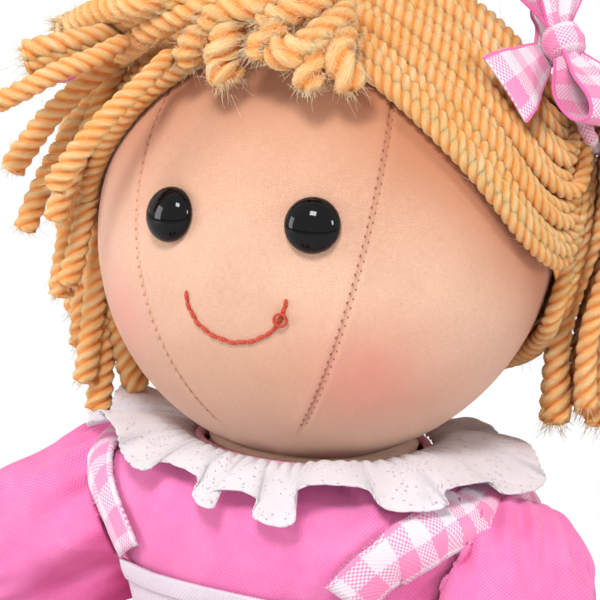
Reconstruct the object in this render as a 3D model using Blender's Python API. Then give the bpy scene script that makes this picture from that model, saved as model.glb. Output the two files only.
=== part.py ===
"""A seated cloth rag doll with yarn hair, a puff-sleeved dress and an apron on gingham straps.

Metres, +Z up. The doll faces -Y and its left is +X. The origin lies under the body, on the seat.
"""

import math

import bmesh
import bpy
from mathutils import Matrix, Vector

# Fits
TOUCH_GAP = 0.0003
SWIVEL_GAP = 0.0006
FACET_GAP = 0.0004
DEG = math.pi / 180
SIDES = (("left", 1), ("right", -1))

# Heights that carry each other: the neckline, the neck's pivot in it and the head on the neck
WAIST_HEIGHT = 0.0500
NECKLINE_HEIGHT = 0.0988
NECK_PIVOT_DROP = 0.0003
NECK_PIVOT_HEIGHT = NECKLINE_HEIGHT - NECK_PIVOT_DROP
HEAD_OVER_PIVOT = 0.0515
HEAD_CENTRE_HEIGHT = NECK_PIVOT_HEIGHT + HEAD_OVER_PIVOT

# Head: an ellipsoid that is flatter from front to back, tipped back on the neck
HEAD_HALF_WIDTH = 0.0525
HEAD_HALF_DEPTH = 0.0427
HEAD_HALF_HEIGHT = 0.0531
HEAD_TURN = 4.4 * DEG
HEAD_LEAN = -3.6 * DEG
HEAD_TIP = -25.0 * DEG
SKIN_THICKNESS = 0.0008
FACE_SEAM_AZIMUTH = 32.5 * DEG
PANEL_POLE_LATITUDE = 80 * DEG

# Eyes: domed buttons whose shanks pass through the face to washers
EYE_RADIUS = 0.0060
EYE_HEIGHT = 0.0044
EYE_SIDE = 0.0167
EYE_DROP = 0.0120
EYE_SIDES = 24
EYE_RIM_HEIGHT = 0.0006
EYE_CUT_PROUD = 0.0030
SHANK_RADIUS = 0.0015
SHANK_LENGTH = 0.0090
WASHER_RADIUS = 0.0055
WASHER_THICKNESS = 0.0012
WASHER_DEPTH = 0.0035

# Mouth: a row of back stitches along an arc
MOUTH_SIDE = 0.0119
MOUTH_CORNER_DROP = 0.0272
MOUTH_MIDDLE_DROP = 0.0365
THREAD_RADIUS = 0.0005
STITCH_COUNT = 17
STITCH_DIP = 0.55

# Hair
HAIR_THICKNESS = 0.0065
HAIR_EDGE_THICKNESS = 0.0035
HAIRLINE = (
    (0, 36),
    (16, 31),
    (26, 22),
    (36, 12),
    (52, 4),
    (72, -6),
    (94, -13),
    (125, -25),
    (155, -27),
    (180, -23),
)
FRINGE_LOCKS = 9
FRINGE_FIRST_AZIMUTH = -53 * DEG
FRINGE_LAST_AZIMUTH = 23 * DEG
FRINGE_THICKNESS = 0.0065
FRINGE_STAND_OFF = 0.0020
FRINGE_NOTCH = 6 * DEG
FRINGE_SETTLE = 10 * DEG
FRINGE_TOP_LATITUDE = 47 * DEG
FRINGE_TIP_LATITUDE = 17 * DEG
TIE_AZIMUTH = 96.5 * DEG
TIE_LATITUDE = 28.7 * DEG
KNOT_AZIMUTH = 79 * DEG
KNOT_LATITUDE = 38 * DEG
TIE_RADIUS = 0.0075
TIE_TUBE = 0.0018
BUNCH_RADIUS = 0.0140
BUNCH_COURSE = ((0.0150, 0.0060, -0.003), (0.0175, 0.0090, -0.022), (0.0120, 0.0100, -0.048))
BUNCH_END_DROP = 0.0470
BUNCH_END_HEIGHT = HEAD_CENTRE_HEIGHT - BUNCH_END_DROP
BUNCH_ROOT = (0.0005, 0.0065)
NORMAL_REACH = 0.040
BOW_LOOP_LENGTH = 0.0248
BOW_LOOP_WIDTH = 0.0170
BOW_LOOP_THICKNESS = 0.0080
BOW_KNOT_RADIUS = 0.0048
BOW_WAIST_RADIUS = 0.0018
BOW_LIFT = 0.30
BACK_BOW_LIFT = 0.22
KNOT_HALF_LENGTH = 0.75
KNOT_EDGE_ANGLE = 62 * DEG
BOW_TAIL_LENGTH = 0.0230
BOW_TAIL_WIDTH = 0.0170
BOW_TAIL_DROOP = 0.0035
BACK_BOW_TAIL_WIDTH = 0.0120
BACK_BOW_LOOP_THICKNESS = 0.0055
RIBBON_THICKNESS = 0.0010

# Neck
NECK_RADIUS = 0.0235
NECK_BALL_RADIUS = 0.0235
NECK_SIDES = 20

# Dress body: share of the way from waist to neckline, half width, half depth
CLOTH_THICKNESS = 0.0012
NECKLINE_RADIUS = 0.0262
DRESS_SHAPE = (
    (0, 0.0360, 0.0280),
    (0.164, 0.0380, 0.0300),
    (0.369, 0.0415, 0.0330),
    (0.574, 0.0470, 0.0345),
    (0.738, 0.0510, 0.0340),
    (0.840, 0.0515, 0.0328),
    (0.912, 0.0485, 0.0308),
    (0.963, 0.0400, 0.0285),
    (1, NECKLINE_RADIUS, NECKLINE_RADIUS),
)
DRESS_RISE = NECKLINE_HEIGHT - WAIST_HEIGHT
DRESS_SECTIONS = tuple((WAIST_HEIGHT + DRESS_RISE * share, wide, deep) for share, wide, deep in DRESS_SHAPE)
BODY_SQUARENESS = 2.4
DRESS_SIDES = 26

# Body below the waist: height, half width, half depth, how far back its middle lies
HIP_SECTIONS = (
    (0.0000, 0.0240, 0.0150, 0.0080),
    (0.0030, 0.0300, 0.0210, 0.0060),
    (0.0120, 0.0370, 0.0280, 0.0020),
    (0.0260, 0.0390, 0.0300, 0.0010),
    (0.0400, 0.0360, 0.0280, 0.0000),
)

# Collar of lace
COLLAR_HALF_WIDTH = 0.0530
COLLAR_HALF_DEPTH = 0.0395
COLLAR_START_RISE = 0.0022
COLLAR_FRONT_DROP = 0.0038
COLLAR_SIDE_RISE = 0.0010
COLLAR_WAVES = 14
COLLAR_WAVE_HEIGHT = 0.0017
LACE_THICKNESS = 0.0008
BINDING_RADIUS = 0.0010
BINDING_LIFT = 0.0007

# Skirt
SKIRT_HALF_WIDTH = 0.0820
SKIRT_HALF_DEPTH = 0.0800
SKIRT_FRONT_HEM = 0.0400
SKIRT_SIDE_HEM = 0.0045
SKIRT_FOLDS = 12
SKIRT_FOLD_DEPTH = 0.0028

# Apron and its straps
APRON_THICKNESS = 0.0009
BIB_TOP_HEIGHT = 0.0730
BIB_HALF_ANGLE = 40 * DEG
BIB_HEM_WIDTH = 0.0040
APRON_HALF_ANGLE = 56 * DEG
APRON_TOP_SHARE = 0.13
APRON_REACH = 0.84
APRON_STAND_OFF = 0.0006
APRON_COLUMNS = 21
BAND_TOP_HEIGHT = 0.0580
BAND_THICKNESS = 0.0012
BAND_RISE = 0.0012
STRAP_WIDTH = 0.0105
STRAP_SHOULDER_SIDE = 0.0455
STRAP_LIFT = 0.0009
STRAP_FRONT_GAP = 0.0030
STRAP_BACK_GAP = 0.0022
STRAP_INSET = 7 * DEG
STRAP_COURSE = ((0, 0), (0.28, 0.12), (0.58, 0.33), (0.83, 0.62))
BACK_BOW_LOOP_LENGTH = 0.0248
BACK_BOW_TAIL_LENGTH = 0.0300
BACK_BOW_TAIL_DROOP = -0.0070
BACK_BOW_BAND_RISE = 0.0040
BACK_BOW_KNOT_RISE = 0.0060

# Arms and sleeves
SHOULDER_SIDE = 0.0540
SHOULDER_HEIGHT = 0.0750
SLEEVE_ROOT_RADIUS = 0.0142
SLEEVE_LENGTH = 0.0400
SLEEVE_PUFF_RADIUS = 0.0158
CUFF_WIDTH = 0.0050
CUFF_THICKNESS = 0.0016
ARM_ROOT_RADIUS = 0.0105
ARM_WRIST_RADIUS = 0.0070
HAND_RADIUS = 0.0092
ARM_LENGTH = 0.0860
ARM_OUT_LEFT = 29 * DEG
ARM_DROP_LEFT = 46 * DEG
ARM_OUT_RIGHT = 44 * DEG
ARM_DROP_RIGHT = 30 * DEG

# Legs, seated: they lie forward along -Y with the toes up
HIP_SIDE = 0.0195
HIP_FORWARD = 0.0220
HIP_HEIGHT = 0.0160
THIGH_RADIUS = 0.0132
KNEE_RADIUS = 0.0112
ANKLE_RADIUS = 0.0088
FOOT_RADIUS = 0.0100
LEG_LENGTH = 0.0925
HEEL_BEND_RADIUS = 0.0135
FOOT_LENGTH = 0.0190
LEG_SLOPE = 1.2 * DEG
HIP_ROOM_SIDE = 0.0040
HIP_ROOM_FRONT = 0.0400
HIP_ROOM_BELOW = 0.0100
BLOOMER_LENGTH = 0.0460
BLOOMER_THICKNESS = 0.0012
SOCK_TOP = 0.0720
SOCK_THICKNESS = 0.0008
SHOE_TOP = 0.0940
SHOE_THICKNESS = 0.0014
SOLE_THICKNESS = 0.0022
SHOE_STRAP_THICKNESS = 0.0011
SHOE_STRAP_WIDTH = 0.0040
SHOE_STRAP_BACK = 0.0035
SOLE_TOE_RISE = 0.0005
BUTTON_SHAPE = ((0, 0.0019), (0.0005, 0.0023), (0.0010, 0.0021), (0.0013, 0.0012))

# Finishes: colour, roughness, metallic
FINISHES = {
    "skin_cloth": ((0.86, 0.56, 0.40), 0.9, 0.0),
    "stuffing": ((0.88, 0.86, 0.82), 1.0, 0.0),
    "eye_black": ((0.005, 0.005, 0.006), 0.08, 0.0),
    "washer_white": ((0.75, 0.75, 0.73), 0.4, 0.0),
    "mouth_thread": ((0.62, 0.05, 0.02), 0.7, 0.0),
    "hair_yarn": ((0.83, 0.38, 0.09), 1.0, 0.0),
    "gingham_pink": ((0.88, 0.48, 0.62), 0.9, 0.0),
    "dress_pink": ((0.90, 0.24, 0.52), 0.9, 0.0),
    "lace_white": ((0.86, 0.82, 0.86), 0.9, 0.0),
    "apron_white": ((0.85, 0.83, 0.86), 0.9, 0.0),
    "sock_white": ((0.83, 0.82, 0.84), 0.9, 0.0),
    "shoe_pink": ((0.75, 0.22, 0.42), 0.8, 0.0),
    "button_white": ((0.85, 0.83, 0.84), 0.3, 0.0),
}


def clear_scene():
    for obj in list(bpy.data.objects):
        bpy.data.objects.remove(obj, do_unlink=True)


def material(name):
    found = bpy.data.materials.get(name)
    if found:
        return found
    made = bpy.data.materials.new(name)
    made.use_nodes = True
    shader = made.node_tree.nodes["Principled BSDF"]
    colour, roughness, metallic = FINISHES[name]
    shader.inputs["Base Color"].default_value = (*colour, 1)
    shader.inputs["Roughness"].default_value = roughness
    shader.inputs["Metallic"].default_value = metallic
    made.diffuse_color = (*colour, 1)
    return made


def pivot(name, place, parent=None, turn=None):
    """An empty on a joint's axis, with its place given in the parent's frame."""
    empty = bpy.data.objects.new(name, None)
    bpy.context.scene.collection.objects.link(empty)
    empty.parent = parent
    empty.location = place
    if turn is not None:
        empty.rotation_euler = turn.to_euler()
    return empty


def add_object(name, bm, finish, parent=None, smooth=50):
    """Turns a bmesh in the parent's frame into a named object with outward faces."""
    bmesh.ops.recalc_face_normals(bm, faces=bm.faces)
    mesh = bpy.data.meshes.new(name)
    bm.to_mesh(mesh)
    bm.free()
    mesh.shade_smooth()
    mesh.set_sharp_from_angle(angle=smooth * DEG)
    mesh.materials.append(material(finish))
    obj = bpy.data.objects.new(name, mesh)
    bpy.context.scene.collection.objects.link(obj)
    obj.parent = parent
    return obj


def cut(obj, cutter):
    """Subtracts a hidden cutter from an object."""
    cutter.hide_render = True
    cutter.display_type = "WIRE"
    boolean = obj.modifiers.new("cut", "BOOLEAN")
    boolean.operation = "DIFFERENCE"
    boolean.solver = "EXACT"
    boolean.object = cutter


def bridge(bm, first, second, closed=True):
    """Faces between two rows of vertices."""
    count = len(first)
    for i in range(count if closed else count - 1):
        j = (i + 1) % count
        corners = [first[i], first[j], second[j], second[i]]
        unique = list(dict.fromkeys(corners))
        if len(unique) > 2:
            bm.faces.new(unique)


def add_rows(bm, rows):
    return [[bm.verts.new(point) for point in row] for row in rows]


def add_solid(bm, rows):
    """A closed body through rings of points, with its two end rings filled."""
    verts = add_rows(bm, rows)
    for first, second in zip(verts, verts[1:]):
        bridge(bm, first, second)
    bm.faces.new(verts[0])
    bm.faces.new(verts[-1])


def add_tube_shell(bm, outer, inner):
    """A wall between two rows of rings, open at both ends."""
    verts = add_rows(bm, outer + inner[::-1])
    for i, row in enumerate(verts):
        bridge(bm, row, verts[(i + 1) % len(verts)])


def add_cup_shell(bm, outer, inner):
    """A wall between two rows of rings, open at the first ring and closed at the last."""
    verts = add_rows(bm, outer + inner[::-1])
    for first, second in zip(verts, verts[1:]):
        if first is not verts[len(outer) - 1]:
            bridge(bm, first, second)
    bridge(bm, verts[-1], verts[0])
    bm.faces.new(verts[len(outer) - 1])
    bm.faces.new(verts[len(outer)])


def add_patch_shell(bm, outer, inner):
    """A sheet with thickness between two grids of points that close nowhere."""
    top = add_rows(bm, outer)
    bottom = add_rows(bm, inner)
    for grid in (top, bottom):
        for first, second in zip(grid, grid[1:]):
            bridge(bm, first, second, closed=False)
    bridge(bm, top[0], bottom[0], closed=False)
    bridge(bm, top[-1], bottom[-1], closed=False)
    for side in (0, -1):
        bridge(bm, [row[side] for row in top], [row[side] for row in bottom], closed=False)


def spaced(first, last, count):
    return [first + (last - first) * i / (count - 1) for i in range(count)]


def interpolate(pairs, x):
    """A smooth value at x through (x, value) pairs in rising order."""
    for (x0, v0), (x1, v1) in zip(pairs, pairs[1:]):
        if x <= x1:
            t = max(0, (x - x0) / (x1 - x0))
            return v0 + (v1 - v0) * t
    return pairs[-1][1]


def ease(t):
    t = min(1, max(0, t))
    return t * t * (3 - 2 * t)


def ring_about(centre, along, up, wide, tall, sides):
    """A ring of points round a path: `up` is the direction of its tall half."""
    along = along.normalized()
    side = along.cross(up).normalized()
    up = side.cross(along).normalized()
    points = []
    for i in range(sides):
        a = 2 * math.pi * i / sides
        points.append(centre + side * wide * math.cos(a) + up * tall * math.sin(a))
    return points


def loft_rings(path, radii, up, sides, flatness=1.0):
    """Rings along a path of points, one radius each, their planes square to the path."""
    rings = []
    for i, (centre, radius) in enumerate(zip(path, radii)):
        before = path[max(i - 1, 0)]
        after = path[min(i + 1, len(path) - 1)]
        rings.append(ring_about(centre, after - before, up, radius, radius * flatness, sides))
    return rings


def curve_path(points, count):
    """Points spaced along a smooth curve through the given points."""
    ends = [points[0] * 2 - points[1], *points, points[-1] * 2 - points[-2]]
    spans = len(points) - 1
    path = []
    for place in spaced(0, spans, count):
        i = min(int(place), spans - 1)
        t = place - i
        a, b, c, d = ends[i : i + 4]
        square = 2 * a - 5 * b + 4 * c - d
        cube = 3 * b - a - 3 * c + d
        path.append(0.5 * (2 * b + (c - a) * t + square * t**2 + cube * t**3))
    return path


# The head's frame and surface


def head_turn_matrix():
    turn = Matrix.Rotation(HEAD_TURN, 3, "Z")
    lean = Matrix.Rotation(HEAD_LEAN, 3, "Y")
    tip = Matrix.Rotation(HEAD_TIP, 3, "X")
    return turn @ lean @ tip


HEAD_ROTATION = head_turn_matrix()
HEAD_CENTRE = Vector((0, 0, HEAD_CENTRE_HEIGHT))


def head_point(azimuth, latitude, lift=0.0):
    """A point over the head's skin, in the head's frame. Azimuth 0 is the face's middle."""
    x = (HEAD_HALF_WIDTH + lift) * math.cos(latitude) * math.sin(azimuth)
    y = -(HEAD_HALF_DEPTH + lift) * math.cos(latitude) * math.cos(azimuth)
    z = (HEAD_HALF_HEIGHT + lift) * math.sin(latitude)
    return Vector((x, y, z))


def face_point(x, z, lift=0.0):
    """A point on the front of the head at this side and height, raised off the skin."""
    wide = HEAD_HALF_WIDTH
    deep = HEAD_HALF_DEPTH
    tall = HEAD_HALF_HEIGHT
    y = -deep * math.sqrt(1 - (x / wide) ** 2 - (z / tall) ** 2)
    normal = Vector((x / wide**2, y / deep**2, z / tall**2)).normalized()
    return Vector((x, y, z)) + normal * lift, normal


def head_to_world(point):
    return HEAD_CENTRE + HEAD_ROTATION @ point


def head_bottom(radius):
    """The lowest height of the head's skin at this distance from the neck's axis."""
    heights = []
    inverse = HEAD_ROTATION.transposed()
    size = Vector((HEAD_HALF_WIDTH, HEAD_HALF_DEPTH, HEAD_HALF_HEIGHT))
    for i in range(24):
        a = 2 * math.pi * i / 24
        start = inverse @ Vector((radius * math.cos(a), radius * math.sin(a), 0))
        down = inverse @ Vector((0, 0, -1))
        p = Vector([start[k] / size[k] for k in range(3)])
        d = Vector([down[k] / size[k] for k in range(3)])
        square = d.dot(d)
        half = p.dot(d)
        reach = (-half + math.sqrt(half**2 - square * (p.dot(p) - 1))) / square
        heights.append(HEAD_CENTRE_HEIGHT - reach)
    return min(heights)


# The dress body's surface


def oval(half_width, half_depth, height, angle, back=0.0, squareness=BODY_SQUARENESS):
    """A point of a level section. Angle 0 is the front and 90 degrees is the doll's left."""
    s = math.sin(angle)
    c = math.cos(angle)
    x = half_width * math.copysign(abs(s) ** (2 / squareness), s)
    y = -half_depth * math.copysign(abs(c) ** (2 / squareness), c)
    return Vector((x, y + back, height))


def dress_section(height_share):
    """Half width, half depth and height at a share of the way from waist to neckline."""
    last = len(DRESS_SECTIONS) - 1
    place = min(max(height_share, 0), 1) * last
    i = min(int(place), last - 1)
    t = place - i
    low = DRESS_SECTIONS[i]
    high = DRESS_SECTIONS[i + 1]
    return [low[k] + (high[k] - low[k]) * t for k in range(3)]


def dress_share(height):
    """The share of the way up at which the dress body reaches this height."""
    last = len(DRESS_SECTIONS) - 1
    for i in range(last):
        low = DRESS_SECTIONS[i][0]
        high = DRESS_SECTIONS[i + 1][0]
        if height <= high:
            return (i + (height - low) / (high - low)) / last
    return 1


def dress_point(share, angle, lift=0.0):
    """A point over the dress body, raised square to its profile."""
    step = 0.04
    z, wide, deep = dress_section(share)
    z0, wide0, _ = dress_section(share - step)
    z1, wide1, _ = dress_section(share + step)
    out = Vector((z1 - z0, wide0 - wide1)).normalized()
    return oval(wide + lift * out.x, deep + lift * out.x, z + lift * out.y, angle)


def dress_rows(shares, lift, sides):
    return [[dress_point(share, 2 * math.pi * i / sides, lift) for i in range(sides)] for share in shares]


def dress_tangents(share, angle):
    step = 0.01
    rise = (dress_point(share + step, angle) - dress_point(share - step, angle)) / (2 * step)
    round_it = (dress_point(share, angle + step) - dress_point(share, angle - step)) / (2 * step)
    return rise, round_it


# The skirt's surface


def skirt_hem(angle):
    """The hem is high over the legs in front and low at the sides and back."""
    from_front = abs(math.remainder(angle, 2 * math.pi))
    return SKIRT_FRONT_HEM + (SKIRT_SIDE_HEM - SKIRT_FRONT_HEM) * ease((from_front - 32 * DEG) / (34 * DEG))


def skirt_point(share, angle, lift=0.0):
    """A point over the skirt at a share of the way from its waist to its hem."""
    spread = math.sin(share * math.pi / 2)
    fold = math.cos(SKIRT_FOLDS * angle) * SKIRT_FOLD_DEPTH * ease(share)
    top_width = DRESS_SECTIONS[0][1]
    top_depth = DRESS_SECTIONS[0][2]
    wide = top_width + (SKIRT_HALF_WIDTH - top_width) * spread + fold
    deep = top_depth + (SKIRT_HALF_DEPTH - top_depth) * spread + fold
    hem = skirt_hem(angle)
    top = WAIST_HEIGHT - TOUCH_GAP
    height = top + (hem - top) * share**1.15
    flat = (hem - SKIRT_SIDE_HEM) / (SKIRT_FRONT_HEM - SKIRT_SIDE_HEM)
    lean = 0.75 + 0.25 * flat - 0.45 * share * (1 - flat)
    outward = math.sqrt(1 - lean**2)
    squareness = BODY_SQUARENESS - 0.4 * share
    height += 0.6 * fold * flat + lift * lean
    return oval(wide + lift * outward, deep + lift * outward, height, angle, squareness=squareness)


def skirt_rows(shares, angles, lift):
    return [[skirt_point(share, angle, lift) for angle in angles] for share in shares]


# Head pieces


def ellipsoid_rows(lift, sides, rings):
    rows = []
    for latitude in spaced(-86 * DEG, 86 * DEG, rings):
        rows.append([head_point(2 * math.pi * i / sides, latitude, lift) for i in range(sides)])
    return rows


def add_stepped_pin(bm, base, axis, steps, sides=12):
    """A solid of round steps along an axis, from pairs of a station and a radius."""
    up = Vector((0, 0, 1))
    add_solid(bm, [ring_about(base + axis * s, axis, up, radius, radius, sides) for s, radius in steps])


def eye_seats():
    return [(side, *face_point(sign * EYE_SIDE, -EYE_DROP)) for side, sign in SIDES]


def make_eye_cutters(frame):
    """The shank holes through skin and stuffing, and the pockets that hold the washers."""
    skin_holes = bmesh.new()
    pockets = bmesh.new()
    proud = EYE_CUT_PROUD
    shank = SHANK_RADIUS + TOUCH_GAP
    washer = WASHER_RADIUS + TOUCH_GAP
    floor = proud + WASHER_DEPTH + WASHER_THICKNESS + TOUCH_GAP
    end = proud + SHANK_LENGTH + TOUCH_GAP
    for _, point, normal in eye_seats():
        start = point + normal * proud
        add_stepped_pin(skin_holes, start, -normal, ((0, shank), (2 * proud, shank)))
        add_stepped_pin(pockets, start, -normal, ((0, washer), (floor, washer), (floor, shank), (end, shank)))
    holes = add_object("eye_hole_cutter", skin_holes, "stuffing", frame)
    hollows = add_object("eye_pocket_cutter", pockets, "stuffing", frame)
    return holes, hollows


def make_head_stuffing(frame, pockets):
    bm = bmesh.new()
    add_solid(bm, ellipsoid_rows(-SKIN_THICKNESS - TOUCH_GAP - 2 * FACET_GAP, 20, 11))
    cut(add_object("head_stuffing", bm, "stuffing", frame), pockets)


def make_head_panel(name, frame, first, last, columns):
    """One cloth panel of the head between two seams, from near the crown to near the neck."""
    gap = TOUCH_GAP / 2 / HEAD_HALF_DEPTH
    azimuths = spaced(first + gap, last - gap, columns)
    latitudes = spaced(-PANEL_POLE_LATITUDE, PANEL_POLE_LATITUDE, 12)
    outer = [[head_point(a, lat) for a in azimuths] for lat in latitudes]
    inner = [[head_point(a, lat, -SKIN_THICKNESS) for a in azimuths] for lat in latitudes]
    bm = bmesh.new()
    add_patch_shell(bm, outer, inner)
    return add_object(name, bm, "skin_cloth", frame)


def make_head_skin(frame, eye_holes):
    seam = FACE_SEAM_AZIMUTH
    cut(make_head_panel("face_panel", frame, -seam, seam, 6), eye_holes)
    make_head_panel("head_side_left", frame, seam, math.pi, 10)
    make_head_panel("head_side_right", frame, -math.pi, -seam, 10)


def make_eyes(frame):
    for side, point, normal in eye_seats():
        up = Vector((0, 0, 1))
        seat = point + normal * TOUCH_GAP
        rows = [ring_about(seat, normal, up, EYE_RADIUS * 0.93, EYE_RADIUS * 0.93, EYE_SIDES)]
        for angle in spaced(8 * DEG, 80 * DEG, 6):
            centre = seat + normal * (EYE_RIM_HEIGHT + (EYE_HEIGHT - EYE_RIM_HEIGHT) * math.sin(angle))
            radius = EYE_RADIUS * math.cos(angle)
            rows.append(ring_about(centre, normal, up, radius, radius, EYE_SIDES))
        shank = [seat - normal * s for s in (SHANK_LENGTH, 0.0)]
        rows = [ring_about(p, normal, up, SHANK_RADIUS, SHANK_RADIUS, EYE_SIDES) for p in shank] + rows
        bm = bmesh.new()
        add_solid(bm, rows)
        add_object("eye_" + side, bm, "eye_black", frame)
        bm = bmesh.new()
        place = point - normal * WASHER_DEPTH
        radii = (SHANK_RADIUS + TOUCH_GAP, WASHER_RADIUS)
        faces = (place, place - normal * WASHER_THICKNESS)
        outer = [ring_about(p, normal, up, radii[1], radii[1], 12) for p in faces]
        inner = [ring_about(p, normal, up, radii[0], radii[0], 12) for p in faces]
        add_tube_shell(bm, outer, inner)
        add_object("eye_washer_" + side, bm, "washer_white", frame)


def mouth_place(share):
    """A point of the smile's line, from the doll's right corner to its left."""
    angle = (share - 0.5) * math.pi
    x = MOUTH_SIDE * math.sin(angle)
    z = -MOUTH_CORNER_DROP - (MOUTH_MIDDLE_DROP - MOUTH_CORNER_DROP) * math.cos(angle)
    return face_point(x, z, THREAD_RADIUS + TOUCH_GAP)


def make_mouth(frame):
    """One thread that swells at the middle of each back stitch and thins where it dips."""
    path = []
    radii = []
    for i in range(STITCH_COUNT * 2 + 1):
        path.append(mouth_place(i / (STITCH_COUNT * 2))[0])
        radii.append(THREAD_RADIUS if i % 2 else THREAD_RADIUS * STITCH_DIP)
    bm = bmesh.new()
    add_solid(bm, loft_rings(path, radii, Vector((0, -1, 0)), 5))
    add_object("mouth_stitching", bm, "mouth_thread", frame)


# Hair


def hairline(azimuth):
    return interpolate(HAIRLINE, abs(azimuth) / DEG) * DEG


def make_hair_half(side, sign, frame):
    """Half of the hair over the head, from the parting round to the nape."""
    azimuths = spaced(0, math.pi, 14)
    shares = (0, 0.1, 0.26, 0.42, 0.58, 0.74, 0.9)
    shift = Vector((sign * TOUCH_GAP / 2, 0, 0))
    under = TOUCH_GAP + 2 * FACET_GAP
    outer = []
    inner = []
    for share in shares:
        lift = HAIR_EDGE_THICKNESS + (HAIR_THICKNESS - HAIR_EDGE_THICKNESS) * ease(share / 0.1)
        lats = [hairline(a) + (math.pi / 2 - hairline(a)) * share for a in azimuths]
        outer.append([head_point(sign * a, lat, under + lift) + shift for a, lat in zip(azimuths, lats)])
        inner.append([head_point(sign * a, lat, under) + shift for a, lat in zip(azimuths, lats)])
    bm = bmesh.new()
    top = add_rows(bm, outer)
    bottom = add_rows(bm, inner)
    crowns = []
    for grid, lift in ((top, under + HAIR_THICKNESS), (bottom, under)):
        for first, second in zip(grid, grid[1:]):
            bridge(bm, first, second, closed=False)
        crown = bm.verts.new(head_point(0, math.pi / 2, lift) + shift)
        bridge(bm, grid[-1], [crown] * len(azimuths), closed=False)
        crowns.append(crown)
    bridge(bm, top[0], bottom[0], closed=False)
    for end in (0, -1):
        edge = [row[end] for row in top] + [crowns[0]]
        below = [row[end] for row in bottom] + [crowns[1]]
        bridge(bm, edge, below, closed=False)
    add_object("hair_" + side, bm, "hair_yarn", frame)


def make_fringe(frame):
    """A row of short locks that hang from the hair over the forehead, joined side by side."""
    lock_angle = (FRINGE_LAST_AZIMUTH - FRINGE_FIRST_AZIMUTH) / FRINGE_LOCKS
    azimuths = spaced(FRINGE_FIRST_AZIMUTH, FRINGE_LAST_AZIMUTH, FRINGE_LOCKS * 2 + 1)
    over_hair = TOUCH_GAP * 2 + 3 * FACET_GAP + HAIR_THICKNESS
    outer = []
    inner = []
    for share in (0, 0.25, 0.5, 0.75, 0.92, 1):
        top = []
        bottom = []
        for azimuth in azimuths:
            lobe = abs(math.sin(math.pi * (azimuth - FRINGE_FIRST_AZIMUTH) / lock_angle))
            tip = FRINGE_TIP_LATITUDE + (1 - lobe) * FRINGE_NOTCH
            latitude = FRINGE_TOP_LATITUDE + (tip - FRINGE_TOP_LATITUDE) * share
            past_edge = hairline(azimuth) - latitude
            low = over_hair + (FRINGE_STAND_OFF - over_hair) * ease(past_edge / FRINGE_SETTLE)
            end = 0.35 + 0.65 * math.sin(math.pi * (0.15 + 0.75 * share)) ** 0.5
            thick = FRINGE_THICKNESS * (0.4 + 0.6 * lobe) * end
            bottom.append(head_point(azimuth, latitude, low))
            top.append(head_point(azimuth, latitude, low + thick))
        outer.append(top)
        inner.append(bottom)
    bm = bmesh.new()
    add_patch_shell(bm, outer, inner)
    add_object("fringe", bm, "hair_yarn", frame)


def over_hair(azimuth, latitude, lift):
    """A place in the world above the hair, and the direction straight out of the hair there."""
    hair = TOUCH_GAP * 2 + 2 * FACET_GAP + HAIR_THICKNESS
    place = head_to_world(head_point(azimuth, latitude, hair + lift))
    beyond = head_to_world(head_point(azimuth, latitude, hair + lift + NORMAL_REACH))
    return place, (beyond - place).normalized()


def add_ring_tube(bm, centre, axis, radius, tube, turns, sides):
    """A closed round tube about an axis."""
    rows = []
    for out in ring_about(Vector((0, 0, 0)), axis, Vector((0, 0.2, 1)), 1, 1, turns):
        rows.append(ring_about(centre + out * radius, out.cross(axis), axis, tube, tube, sides))
    verts = add_rows(bm, rows)
    for i, row in enumerate(verts):
        bridge(bm, row, verts[(i + 1) % len(verts)])


def make_tie(side, sign, head):
    """The cord that gathers a bunch, a ring that lies on the hair."""
    bm = bmesh.new()
    place, normal = over_hair(sign * TIE_AZIMUTH, TIE_LATITUDE, TIE_TUBE)
    add_ring_tube(bm, place - head.matrix_world.translation, normal, TIE_RADIUS, TIE_TUBE, 14, 5)
    add_object("hair_tie_" + side, bm, "gingham_pink", head)


def make_bunch(side, sign, head):
    """A bunch of yarn that leaves its tie outwards and hangs beside the head."""
    place, normal = over_hair(sign * TIE_AZIMUTH, TIE_LATITUDE, TIE_TUBE)
    bunch = pivot("bunch_pivot_" + side, place - head.location, head)
    points = [normal * reach for reach in BUNCH_ROOT]
    points += [Vector((sign * x, y, z)) for x, y, z in BUNCH_COURSE]
    low = points[-1]
    points.append(Vector((low.x, low.y, BUNCH_END_HEIGHT - place.z)))
    path = curve_path(points, 14)
    neck = (TIE_RADIUS - TIE_TUBE) * 0.9 - TOUCH_GAP
    swell = (0, 0.02, 0.1, 0.26, 0.5, 0.7, 0.88, 0.97, 1, 1, 0.96, 0.88, 0.7, 0.35)
    radii = [neck + (BUNCH_RADIUS - neck) * share for share in swell]
    bm = bmesh.new()
    add_solid(bm, loft_rings(path, radii, Vector((0, 1, 0)), 12))
    add_object("pigtail_" + side, bm, "hair_yarn", bunch)


def add_bow(bm, knot, along, face, length, width, thickness, lift):
    """Two loops through one narrow waist, each wide and rounded at its far end."""
    waist = 2 * BOW_WAIST_RADIUS
    band = (BOW_KNOT_RADIUS * KNOT_HALF_LENGTH + TOUCH_GAP) / length
    shape = ((0, 0, 0), (band, 0, 0), (0.34, 0.62, 0.7), (0.6, 0.95, 1), (0.84, 1, 0.85), (0.96, 0.85, 0.5))
    rows = []
    for way in (-1, 1):
        half = shape[:0:-1] if way < 0 else shape
        for share, wide, thick in half:
            centre = knot + (along * way * share + face * lift * max(0, share - band)) * length
            section = ((waist + (width - waist) * wide) / 2, (waist + (thickness - waist) * thick) / 2)
            rows.append(ring_about(centre, along, face, *section, 10))
    add_solid(bm, rows)


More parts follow.
